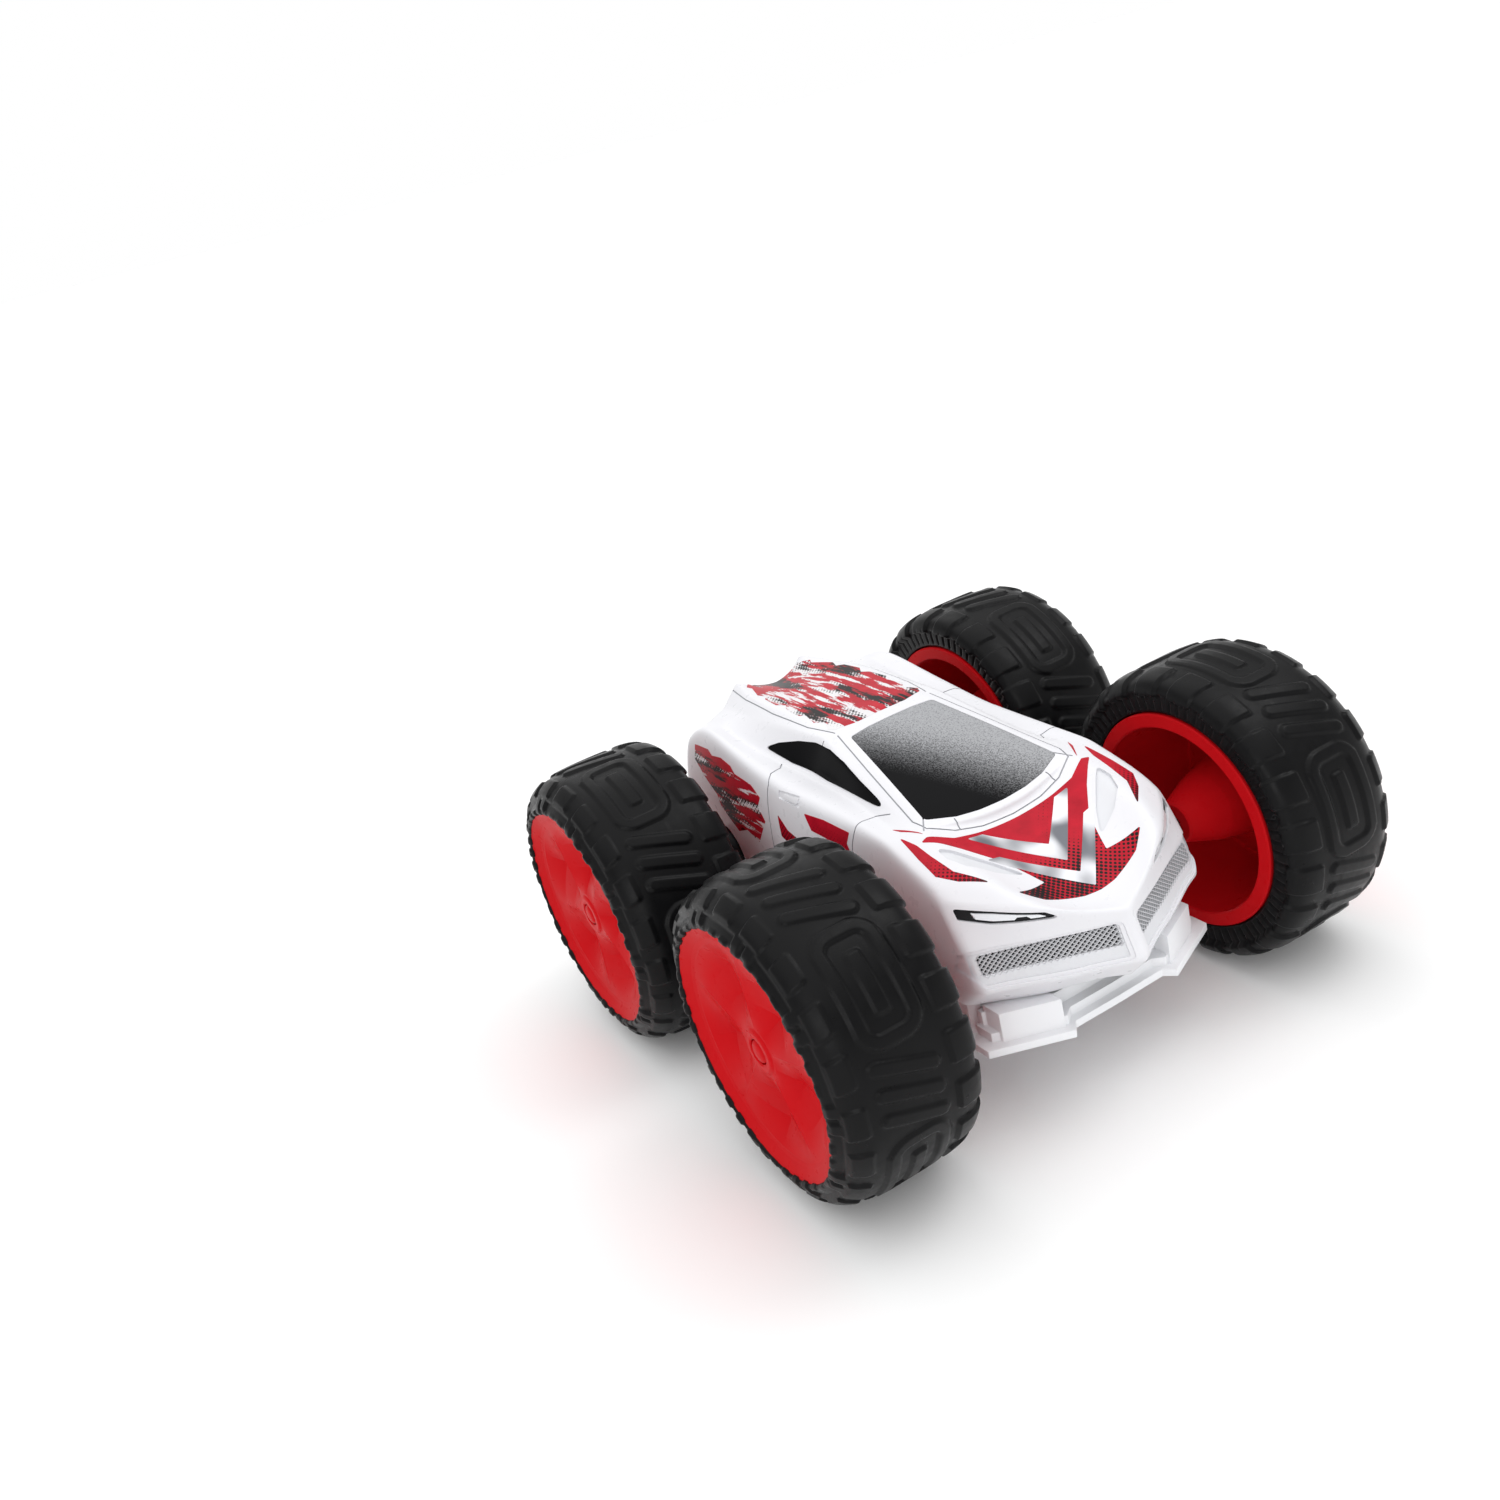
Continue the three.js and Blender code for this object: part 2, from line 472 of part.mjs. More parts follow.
// A gearbox: a tray with pins for the gears and bosses for the axles, its cover, gears and motor.
function addGearbox({ name, side, motorY }) {
  const circles = [[-AXLE_Y, AXLE_Z, 13.3], [AXLE_Y, AXLE_Z, 13.3], [-IDLER_Y, AXLE_Z, 17.1], [IDLER_Y, AXLE_Z, 17.1],
    [0, AXLE_Z, 18.1], [motorY, MOTOR_Z, 8.2]];
  let tray = cut(prism(hullOutline(circles), TRAY_X, "x"),
    prism(hullOutline(circles, TRAY_WALL), [TRAY_X[0] - 1, TRAY_X[1] - TRAY_WALL], "x"));
  for (const y of [0, IDLER_Y, -IDLER_Y])
    tray = tray.add(rodX(AXLE_R, [TRAY_X[0], TRAY_X[1] - 0.5], y, AXLE_Z, 10));
  for (const y of [AXLE_Y, -AXLE_Y]) {
    tray = tray.add(rodX(BOSS_R, [TRAY_X[1] - 0.5, BOSS_OUT], y, AXLE_Z, 14));
    tray = cut(tray, rodX(BORE_R, [20, BOSS_OUT + 1], y, AXLE_Z, 10));
  }
  addPiece(`gearbox_${name}`, onSide(tray, side), DARK);
  let cover = prism(hullOutline(circles), COVER_X, "x");
  for (const y of [AXLE_Y, -AXLE_Y]) cover = cut(cover, rodX(BORE_R, [20, 25], y, AXLE_Z, 10));
  cover = cut(cover, rodX(2.4, [20, 25], motorY, MOTOR_Z, 10));
  addPiece(`gearbox_cover_${name}`, onSide(cover, side), DARK);
  const can = circle(motorY, MOTOR_Z, MOTOR_R, 20).map(([y, z]) =>
    [y, Math.min(MOTOR_Z + MOTOR_FLAT, Math.max(MOTOR_Z - MOTOR_FLAT, z))]);
  addPiece(`motor_${name}`, onSide(prism(can, MOTOR_X, "x"), side), STEEL);
  addPiece(`motor_shaft_${name}`, onSide(rodX(1, [MOTOR_X[1] + GAP, GEAR_X[1]], motorY, MOTOR_Z, 8), side), STEEL);
  for (const { name: part, teeth, y, z, phase } of gearTrain(motorY)) {
    const bore = part === "motor_pinion" ? 1 + GAP : BORE_R;
    addPiece(`${part}_${name}`, onSide(gear(teeth, bore, y, z, phase), side), NYLON);
  }
}

// A wheel: a hollow tyre on a rim whose outer side is a closed dish and whose inner side is open.
const TYRE_PROFILE = [
  [57, 31.1], [56.2, 33.7], [54.2, 33.7], [54.2, 42.2], [57.5, 44.2], [66, 45], [80, 45], [87, 44.3], [91, 42.6],
  [WHEEL_OUT, 36.4], [WHEEL_OUT, 35.6], [90.8, 35.6], [89.5, 31.1], [87.5, 31.1], [87.5, 40.5], [59, 40.5],
  [59, 31.1],
];
const RIM_PROFILE = [
  [WHEEL_IN, 29], [WHEEL_IN, 33.3], [55.8, 33.3], [56.5, 30.6], [90, 30.6], [91.2, 35.1], [93.6, 35.1], [91.2, 31.6],
  [90.4, 10], [92, 7], [92, 3.8], [89.2, 3.8], [89.2, BORE_R], [52.4, BORE_R], [52.4, 6], [64, 10.5], [84, 14.5],
  [88.2, 27.6],
];
const ROUND = 20;

function addWheel(end, { name, side }) {
  const y = end === "front" ? -AXLE_Y : AXLE_Y;
  const place = (body) => body.translate([0, y, AXLE_Z]);
  const tag = `${end}_${name}`;
  addPiece(`tyre_${tag}`, place(onSide(turned(TYRE_PROFILE, ROUND), side)), TYRE);
  addPiece(`rim_${tag}`, place(onSide(turned(RIM_PROFILE, ROUND), side)), RED);
  addPiece(`axle_${tag}`, onSide(rodX(AXLE_R, [22, 86], y, AXLE_Z, 10), side), STEEL);
  const screw = union(rodX(3.3, [89.6, 91.6], y, AXLE_Z, 12), rodX(SCREW_R, [86.4, 90], y, AXLE_Z, 8));
  addPiece(`hub_screw_${tag}`, onSide(screw, side), RED);
}

addShell();
addTub();
addBattery();
addElectronics();
addBumpers();
for (const flank of SIDES) {
  addGearbox(flank);
  addWheel("front", flank);
  addWheel("rear", flank);
}

export default car;
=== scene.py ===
"""The looks of a 1:18 radio controlled stunt car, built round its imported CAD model.

Shapes are made in millimetres, in the model's own axes (-Y is the front, +X the car's left, +Z up), and
scaled to metres when a piece is finished.
"""
from collections import Counter
import json
import math

import bmesh
import bpy
import numpy as np
from mathutils import Matrix, Vector
from mathutils.bvhtree import BVHTree
from mathutils.interpolate import poly_3d_calc

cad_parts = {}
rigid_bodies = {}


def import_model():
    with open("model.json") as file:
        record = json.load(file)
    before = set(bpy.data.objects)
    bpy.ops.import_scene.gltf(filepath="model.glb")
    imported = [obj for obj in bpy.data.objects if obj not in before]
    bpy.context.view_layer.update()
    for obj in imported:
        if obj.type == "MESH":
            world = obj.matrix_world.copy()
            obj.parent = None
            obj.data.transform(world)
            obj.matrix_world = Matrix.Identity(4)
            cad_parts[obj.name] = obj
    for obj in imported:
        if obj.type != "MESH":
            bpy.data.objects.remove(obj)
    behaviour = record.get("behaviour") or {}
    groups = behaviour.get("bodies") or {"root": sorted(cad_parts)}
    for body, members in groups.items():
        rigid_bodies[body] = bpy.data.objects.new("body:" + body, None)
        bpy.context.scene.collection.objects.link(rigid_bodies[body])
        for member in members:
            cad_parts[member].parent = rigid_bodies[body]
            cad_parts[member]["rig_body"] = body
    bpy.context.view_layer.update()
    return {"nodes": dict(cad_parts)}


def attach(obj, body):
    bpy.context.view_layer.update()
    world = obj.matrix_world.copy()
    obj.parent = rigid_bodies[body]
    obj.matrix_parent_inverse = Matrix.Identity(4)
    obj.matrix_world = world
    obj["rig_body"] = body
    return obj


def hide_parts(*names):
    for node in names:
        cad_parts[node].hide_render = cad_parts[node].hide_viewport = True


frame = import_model()

# ---- sizes, as in the CAD ----
MM = 0.001
AXLE_Y = 52.5
AXLE_Z = 45
SHELL_LOW = 36
SHELL_WALL = 1.7
CUT_LOW = 33

# The body's lines: rails from the nose to the tail, each with eleven stations of x, y, z. The first
# six run along the top from the middle line out to the shoulder, the other three down the side.
RAILS = [
    [(0, -90.3, 57), (0, -81.5, 58.8), (0, -66, 64.8), (0, -50, 70.8), (0, -46.6, 74.2), (0, -22, 81.9),
     (0, 4, 87.4), (0, 16, 88.3), (0, 40, 88.3), (0, 60, 86), (0, 73, 83.1)],
    [(8.5, -86.8, 58.6), (9, -80.3, 60), (9.5, -66, 65.2), (11, -49.6, 71.6), (11, -46, 74.8), (9.5, -22, 81.8),
     (8, 4, 87.4), (8.5, 15, 88.3), (9, 40, 88.4), (8.5, 60, 87), (7.5, 73.3, 85)],
    [(16, -83.4, 61.2), (17, -78.2, 63), (18.5, -65.5, 67.6), (22.8, -48.5, 74.4), (23.6, -43, 76.8),
     (19.8, -20, 82.3), (15.2, 4, 87.3), (15.8, 13, 88), (17.3, 40, 88.4), (16, 60, 88), (12.8, 75, 87.4)],
    [(23.5, -79.2, 63.6), (24.5, -72.5, 68.2), (25.5, -62, 71.5), (27, -48, 75.4), (27.3, -41, 76.8),
     (24.5, -18, 80.8), (21.3, 5, 86), (20.8, 14, 86.8), (22.4, 38, 86), (22, 58, 84.8), (20, 73.5, 82)],
    [(30.5, -73.2, 65), (31.5, -66.5, 69), (32.3, -58, 72), (32.6, -46, 75.2), (31.5, -38, 76.3),
     (28, -16, 77), (27, 5, 77.2), (27.2, 16, 78), (29.3, 38, 80.4), (29.5, 58, 83.2), (28, 72, 80)],
    [(37.2, -66, 65.6), (37.3, -61, 68.6), (37.2, -54, 71.2), (36.8, -44, 74.2), (36.5, -36, 75.6),
     (36.2, -15, 76.4), (36.3, 5, 76.9), (36.6, 17, 78), (36.4, 38, 81), (35.8, 58, 83.6), (36.4, 70, 78)],
    [(37.8, -73, 52.6), (38.6, -64, 56), (39, -54, 60), (39, -44, 63), (39, -35, 64.5), (39.2, -15, 65.5),
     (39.2, 5, 66), (39.2, 17, 67), (39.2, 38, 69), (38.8, 58, 70), (38.2, 74, 66)],
    [(38, -74, 44), (39, -63, 46), (39.6, -53, 48), (39.8, -43, 49), (39.8, -34, 50), (39.8, -15, 50),
     (39.8, 5, 50), (39.8, 17, 50), (39.8, 38, 50), (39.6, 58, 50), (38.4, 78, 50)],
    [(36.8, -65.6, 36), (37.6, -58, 36), (38, -50, 36), (38, -42, 36), (38, -33, 36), (38, -15, 36),
     (38, 5, 36), (38, 17, 36), (38, 38, 36), (38, 58, 36), (37, 76, 36)],
]
TOP_RAILS = 6
# The nose and the tail below their top edges: rows downwards, each from the middle line outwards.
NOSE = [
    [(0, -92, 51.5), (8.5, -87.9, 51.8), (16.5, -84, 52), (24, -80.2, 52.2), (31, -76.7, 52.4)],
    [(0, -95, 43.5), (8.5, -90.3, 43.6), (17, -86.3, 43.7), (24.5, -82.3, 43.8), (31.5, -78.4, 43.9)],
    [(0, -88, 36), (7.5, -82.8, 36), (17.9, -78.4, 36), (25, -74.2, 36), (31.5, -69.8, 36)],
]
TAIL = [
    [(0, 78, 68), (9, 78, 68), (16.5, 78, 67.5), (24, 77.4, 67), (31, 76.5, 66.5)],
    [(0, 80, 52), (9, 80, 52), (17, 80, 52), (25, 79.8, 51), (32, 79.4, 50.5)],
    [(0, 77, 36), (9, 77, 36), (17, 77, 36), (25, 77, 36), (32, 76.8, 36)],
]
# How tight the body's edges are, from 0 (soft) to 1: a grid (0 rails, 1 nose, 2 tail), the first and
# the last point of the edge as (row, column), and the tightness.
EDGES = [
    (0, (2, 4), (2, 10), 0.5),
    (0, (3, 4), (3, 10), 0.55),
    (0, (4, 4), (4, 9), 0.5),
    (0, (5, 0), (5, 10), 0.3),
    (0, (0, 4), (4, 4), 0.35),
    (0, (3, 0), (3, 3), 0.2),
    (1, (0, 0), (0, 5), 0.45),
    (1, (2, 0), (2, 5), 0.55),
    (1, (0, 0), (3, 0), 0.75),
    (1, (0, 5), (3, 5), 0.3),
    (2, (0, 0), (0, 5), 0.8),
    (2, (2, 0), (2, 5), 0.4),
    (2, (0, 5), (3, 5), 0.35),
]
SURFACE_LEVEL = 3
FITTING_ROUNDS = 4
ARC_STEP = 12
CURVE_STEPS = 24
MIDDLE = Vector((0, -5, 50))


# ---- mesh making ----
def pairs(items):
    """Each item of a closed ring with the next."""
    return zip(items, items[1:] + items[:1])


def link(name, mesh):
    obj = bpy.data.objects.new(name, mesh)
    bpy.context.scene.collection.objects.link(obj)
    return obj


def mesh_object(name, vertices, faces, outwards=True):
    """An object from vertices and faces in millimetres, with the faces of closed shapes turned out."""
    mesh = bpy.data.meshes.new(name)
    mesh.from_pydata([tuple(map(float, v)) for v in vertices], [], [list(map(int, f)) for f in faces])
    if outwards:
        bm = bmesh.new()
        bm.from_mesh(mesh)
        bmesh.ops.recalc_face_normals(bm, faces=bm.faces)
        bm.to_mesh(mesh)
        bm.free()
    return link(name, mesh)


def apply_modifiers(obj):
    graph = bpy.context.evaluated_depsgraph_get()
    mesh = bpy.data.meshes.new_from_object(obj.evaluated_get(graph))
    old = obj.data
    obj.modifiers.clear()
    obj.data = mesh
    bpy.data.meshes.remove(old)
    return obj


def remove(*objects):
    for obj in objects:
        bpy.data.objects.remove(obj)


def duplicate(obj):
    return link(obj.name + "_copy", obj.data.copy())


def boolean(obj, tool, operation="DIFFERENCE", keep_tool=False):
    """Cuts an object with a tool, which is used up unless it is kept."""
    modifier = obj.modifiers.new("boolean", "BOOLEAN")
    modifier.operation = operation
    modifier.solver = "MANIFOLD"
    modifier.object = tool
    modifier.material_mode = "TRANSFER"
    apply_modifiers(obj)
    if not keep_tool:
        remove(tool)
    return obj


def prism(outline, reach, axis):
    """An outline extruded along an axis. It is drawn in the other two axes, in the order x, y, z."""
    k = "xyz".index(axis)
    n = len(outline)
    vertices = [(*p[:k], height, *p[k:]) for height in reach for p in outline]
    walls = [(i, (i + 1) % n, n + (i + 1) % n, n + i) for i in range(n)]
    return mesh_object("prism", vertices, [range(n), range(n, 2 * n), *walls])


# ---- the body's surface ----
def end_rows(station, rows):
    top = [rail[station] for rail in RAILS[:TOP_RAILS]]
    return [top] + [row + [RAILS[TOP_RAILS + i][station]] for i, row in enumerate(rows)]


GRIDS = [RAILS, end_rows(0, NOSE), end_rows(-1, TAIL)]


def steps(first, last):
    """The grid points from first to last, which share a row or a column."""
    (i0, j0), (i1, j1) = first, last
    count = max(i1 - i0, j1 - j0)
    return [(i0 + (i1 - i0) * k // count, j0 + (j1 - j0) * k // count) for k in range(count + 1)]


def body_cage():
    """The control points of both halves of the body, its quads and how tight its edges are."""
    points, index, quads, creases = [], {}, [], {}

    def number(p):
        if p not in index:
            index[p] = len(points)
            points.append(p)
        return index[p]

    for side in (1, -1):
        flip = lambda p: (side * p[0] + 0.0, p[1], p[2])
        for grid in GRIDS:
            for i in range(len(grid) - 1):
                for j in range(len(grid[i]) - 1):
                    corners = (grid[i][j], grid[i][j + 1], grid[i + 1][j + 1], grid[i + 1][j])
                    quads.append([number(flip(p)) for p in corners])
        for g, first, last, amount in EDGES:
            chain = [number(flip(GRIDS[g][i][j])) for i, j in steps(first, last)]
            for a, b in zip(chain, chain[1:]):
                creases[frozenset((a, b))] = amount
    return np.array(points, float), quads, creases


def body_surface():
    """A smooth surface through the control points: its vertices, their normals, its faces and its rim."""
    target, quads, creases = body_cage()
    mesh = bpy.data.meshes.new("cage")
    mesh.from_pydata(target.tolist(), [], quads)
    bm = bmesh.new()
    bm.from_mesh(mesh)
    bmesh.ops.recalc_face_normals(bm, faces=bm.faces)
    if sum(f.normal.dot(f.calc_center_median() - MIDDLE) for f in bm.faces) < 0:
        bmesh.ops.reverse_faces(bm, faces=bm.faces)
    crease = bm.edges.layers.float.new("crease_edge")
    for edge in bm.edges:
        edge[crease] = creases.get(frozenset(v.index for v in edge.verts), 0)
    bm.to_mesh(mesh)
    bm.free()
    cage = link("cage", mesh)
    smooth = cage.modifiers.new("smooth", "SUBSURF")
    smooth.levels = 1
    smooth.boundary_smooth = "PRESERVE_CORNERS"
    control = target.copy()
    for _ in range(FITTING_ROUNDS):
        bpy.context.view_layer.update()
        made = cage.evaluated_get(bpy.context.evaluated_depsgraph_get()).data
        reached = np.array([made.vertices[i].co for i in range(len(target))])
        control += target - reached
        mesh.vertices.foreach_set("co", control.ravel())
        mesh.update()
    smooth.levels = SURFACE_LEVEL
    apply_modifiers(cage)
    vertices = np.array([v.co for v in cage.data.vertices])
    normals = np.array([v.normal for v in cage.data.vertices])
    faces = [list(p.vertices) for p in cage.data.polygons]
    uses = Counter(frozenset(edge) for face in faces for edge in pairs(face))
    after = {b: a for face in faces for a, b in pairs(face) if uses[frozenset((a, b))] == 1}
    rim = [next(iter(after))]
    while len(rim) < len(after):
        rim.append(after[rim[-1]])
    remove(cage)
    return vertices, normals, faces, rim


SKIN_POINTS, SKIN_NORMALS, SKIN_FACES, SKIN_RIM = body_surface()
SKIN = BVHTree.FromPolygons([Vector(v) for v in SKIN_POINTS], SKIN_FACES)


def skin_solid(inset, bottom=SHELL_LOW):
    """The closed body pushed in by a distance, with a flat bottom at a height."""
    points = SKIN_POINTS - inset * SKIN_NORMALS
    for i in SKIN_RIM:
        level = SKIN_NORMALS[i] * (1, 1, 0)
        points[i] = SKIN_POINTS[i] - inset * level / np.linalg.norm(level)
        points[i][2] = bottom
    fan = [(a, b, len(points)) for a, b in pairs(SKIN_RIM)]
    return mesh_object("skin", [*points, (0, MIDDLE.y, bottom)], SKIN_FACES + fan)


LAYERS = {}


def layer(top, bottom):
    """The shell between two depths under the surface. A negative depth is outside it."""
    if (top, bottom) not in LAYERS:
        LAYERS[top, bottom] = boolean(skin_solid(top), skin_solid(bottom, CUT_LOW))
    return LAYERS[top, bottom]


def patch(outline, axis, reach, top, bottom):
    """A piece of the body's skin inside an outline, between two depths."""
    return boolean(prism(outline, reach, axis), layer(top, bottom), "INTERSECT", keep_tool=True)


def grown(outline, distance):
    """An outline moved out by a distance, edge by edge."""
    points = [Vector(p) for p in outline]
    area = sum(p.x * q.y - p.y * q.x for p, q in pairs(points))
    side = 1 if area > 0 else -1
    result = []
    for i, point in enumerate(points):
        before, after = points[i - 1], points[(i + 1) % len(points)]
        n = Vector((point.y - before.y, before.x - point.x)).normalized() * side
        m = Vector((after.y - point.y, point.x - after.x)).normalized() * side
        move = (n + m) * (distance / max(0.7, 1 + n.dot(m)))
        result.append(tuple(point + move))
    return result


def rounded(outline, radius):
    """An outline with its corners rounded."""
    points = [Vector(p) for p in outline]
    result = []
    for i, point in enumerate(points):
        before, after = points[i - 1] - point, points[(i + 1) % len(points)] - point
        half = before.angle(after) / 2
        reach = min(radius / math.tan(half), 0.45 * before.length, 0.45 * after.length)
        start, end = point + before.normalized() * reach, point + after.normalized() * reach
        turns = max(1, round(math.degrees(math.pi - 2 * half) / ARC_STEP))
        for k in range(turns + 1):
            t = k / turns
            result.append(tuple((1 - t) ** 2 * start + 2 * t * (1 - t) * point + t * t * end))
    return result


def symmetric(half):
    """The whole of an outline from its half on the car's left side."""
    return half + [(-a, b) for a, b in reversed(half) if a > 0]


# ---- materials ----
class Finish:
    """A node material, with one method for each kind of node it uses."""

    def __init__(self, name, **surface):
        self.material = bpy.data.materials.new(name)
        self.material.use_nodes = True
        self.tree = self.material.node_tree
        self.surface = self.tree.nodes["Principled BSDF"]
        for key, value in surface.items():
            self.surface.inputs[key.replace("_", " ")].default_value = value
        where = self.node("TexCoord").outputs["Object"]
        scale = self.node("VectorMath", where, operation="SCALE")
        scale.inputs["Scale"].default_value = 1 / MM
        self.place = scale.outputs[0]

    def node(self, kind, *inputs, **settings):
        node = self.tree.nodes.new("ShaderNode" + kind)
        for key, value in settings.items():
            setattr(node, key, value)
        for i, value in enumerate(inputs):
            self.feed(node.inputs[i], value)
        return node

    def feed(self, socket, value):
        if isinstance(value, bpy.types.NodeSocket):
            self.tree.links.new(value, socket)
        elif value is not None:
            socket.default_value = value

    def calc(self, operation, *values, **settings):
        return self.node("Math", *values, operation=operation, **settings).outputs[0]

    def axis(self, letter):
        return self.node("SeparateXYZ", self.place).outputs["XYZ".index(letter)]

    def span(self, value, low, high, start=0.0, end=1.0, smooth=False):
        """A value's place between two limits, as a number from start to end."""
        kind = "SMOOTHSTEP" if smooth else "LINEAR"
        return self.node("MapRange", value, low, high, start, end, interpolation_type=kind).outputs[0]

    def mapped(self, scale, turn=(0, 0, 0)):
        node = self.node("Mapping", self.place)
        node.inputs["Scale"].default_value = scale if isinstance(scale, tuple) else (scale,) * 3
        node.inputs["Rotation"].default_value = turn
        return node.outputs[0]

    def noise(self, scale, detail=2.0, turn=(0, 0, 0), rough=0.5):
        """Noise from 0 to 1. The scale is in cells for each millimetre."""
        node = self.node("TexNoise", self.mapped(scale, turn))
        node.inputs["Scale"].default_value = 1
        node.inputs["Detail"].default_value = detail
        node.inputs["Roughness"].default_value = rough
        return node.outputs[0]

    def dots(self, pitch, turn):
        """The distance to the nearest of a square grid of points, in the plane of the turned x and y."""
        node = self.node("TexVoronoi", self.mapped(1 / pitch, turn), voronoi_dimensions="2D")
        node.inputs["Scale"].default_value = 1
        node.inputs["Randomness"].default_value = 0
        return node.outputs["Distance"]

    def mix(self, share, first, second):
        node = self.node("Mix", data_type="RGBA")
        self.feed(node.inputs[0], share)
        self.feed(node.inputs[6], first)
        self.feed(node.inputs[7], second)
        return node.outputs[2]

    def over(self, value, level, soft=0.02):
        """1 where a value is over a level, 0 where it is under, with a soft edge."""
        if isinstance(level, (int, float)):
            return self.span(value, level - soft, level + soft)
        return self.span(self.calc("SUBTRACT", value, level), -soft, soft)

    def set(self, name, value):
        self.feed(self.surface.inputs[name], value)
        return self

    def bump(self, height, distance):
        """Relief in the surface. The distance is in millimetres."""
        node = self.node("Bump")
        node.inputs["Strength"].default_value = 1
        node.inputs["Distance"].default_value = distance * MM
        self.feed(node.inputs["Height"], height)
        self.feed(self.surface.inputs["Normal"], node.outputs[0])
        return self


def rgb(red, green, blue):
    """A colour given as its sRGB numbers from 0 to 255."""
    linear = [c / 255 / 12.92 if c <= 10 else ((c / 255 + 0.055) / 1.055) ** 2.4 for c in (red, green, blue)]
    return (*linear, 1)


def moulded(name, colour, roughness, grain=0.01, tint=0.06, **surface):
    """Moulded plastic: slightly uneven in colour and gloss, with a fine grain where one is given."""
    finish = Finish(name, **surface)
    dark = tuple(c * (1 - tint) for c in colour[:3]) + (1,)
    finish.set("Base Color", finish.mix(finish.noise(0.06, 3), colour, dark))
    finish.set("Roughness", finish.span(finish.noise(0.35, 4), 0.3, 0.7, roughness * 0.88, roughness * 1.12))
    if grain:
        finish.bump(finish.noise(2.2, 3), grain)
    return finish


RED = rgb(206, 22, 46)
DEEP_RED = rgb(150, 10, 30)
INK = rgb(18, 17, 19)
PRINT_GLOSS = {"Roughness": 0.35, "Specular_IOR_Level": 0.15}
ON_TOP = (0, 0, math.radians(45))
ON_SIDE = (math.radians(45), math.radians(90), 0)


def halftone(finish, growth, pitch, turn=ON_TOP):
    """Printed dots that grow until they join, as growth goes from 0 to 1. 1 is ink."""
    level = finish.span(growth, 0, 1, -0.05, 0.75)
    return finish.over(level, finish.dots(pitch, turn), 0.05)


def hood_print():
    """Red, with black dots that gather towards the front and grow scarce by the windshield."""
    finish = Finish("hood_print", **PRINT_GLOSS)
    front = finish.span(finish.axis("Y"), -58, -76, 0.0, 0.6)
    uneven = finish.calc("ADD", front, finish.span(finish.noise(0.09, 3), 0.35, 0.65, -0.2, 0.22))
    dots = halftone(finish, uneven, 1.15)
    red = finish.mix(finish.noise(0.25, 4), RED, DEEP_RED)
    finish.set("Base Color", finish.mix(dots, red, INK))
    return finish.bump(finish.noise(1.6, 2), 0.006)


def silver_print():
    """Silver film with a painted reflection: soft dark clouds in it."""
    finish = Finish("silver_print", Metallic=0.35, **PRINT_GLOSS)
    # Painted reflection: soft dark clouds mixed into the silver.
    tone = finish.span(finish.noise((0.075, 0.06, 0), 1), 0.42, 0.62, 0, 1, smooth=True)
    finish.set("Base Color", finish.mix(tone, rgb(228, 229, 233), rgb(112, 114, 120)))
    return finish.bump(finish.noise(2.5, 2), 0.004)


# ---- pieces ----
def paint(obj, *finishes):
    obj.data.materials.clear()
    for finish in finishes:
        obj.data.materials.append(finish.material)
    return obj


def join(first, *others):
    """Several meshes as one, each keeping its own finish."""
    bm = bmesh.new()
    slots = []
    for obj in (first, *others):
        start = len(bm.faces)
        bm.from_mesh(obj.data)
        bm.faces.ensure_lookup_table()
        numbers = []
        for material in obj.data.materials:
            if material not in slots:
                slots.append(material)
            numbers.append(slots.index(material))
        for face in bm.faces[start:]:
            face.material_index = numbers[face.material_index] if numbers else 0
    first.data.materials.clear()
    for material in slots:
        first.data.materials.append(material)
    bm.to_mesh(first.data)
    bm.free()
    remove(*others)
    return first


# A face within this angle of the body's surface, as a cosine, is part of it.
SAME_WAY = math.cos(math.radians(55))


def shade_as_skin(mesh):
    """Shades the faces that lie along the body's surface as smoothly as the surface itself."""
    along = np.zeros((len(mesh.vertices), 3))
    for i, vertex in enumerate(mesh.vertices):
        place, _, face, _ = SKIN.find_nearest(vertex.co)
        corners = SKIN_FACES[face]
        weights = poly_3d_calc([Vector(SKIN_POINTS[c]) for c in corners], place)
        along[i] = np.array(weights) @ SKIN_NORMALS[corners]
    along /= np.linalg.norm(along, axis=1, keepdims=True)
    normals = np.array([corner.vector for corner in mesh.corner_normals])
    for polygon in mesh.polygons:
        for loop in polygon.loop_indices:
            smooth = along[mesh.loops[loop].vertex_index]
            if np.dot(smooth, polygon.normal) > SAME_WAY:
                normals[loop] = smooth
    mesh.normals_split_custom_set(normals.tolist())


def piece(obj, name, body, stands_for=(), sharp=32, on_skin=False):
    """Scales a shape to metres, shades it and puts it on its body."""
    obj.name = obj.data.name = name
    mesh = obj.data
    mesh.shade_smooth()
    mesh.set_sharp_from_angle(angle=math.radians(sharp))
    if on_skin:
        shade_as_skin(mesh)
    mesh.transform(Matrix.Scale(MM, 4))
    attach(obj, body)
    if stands_for:
        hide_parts(*stands_for)
    return obj


def flipped(obj):
    """A mirrored copy for the other side of the car."""
    copy = duplicate(obj)
    copy.data.transform(Matrix.Scale(-1, 4, (1, 0, 0)))
    copy.data.flip_normals()
    return copy


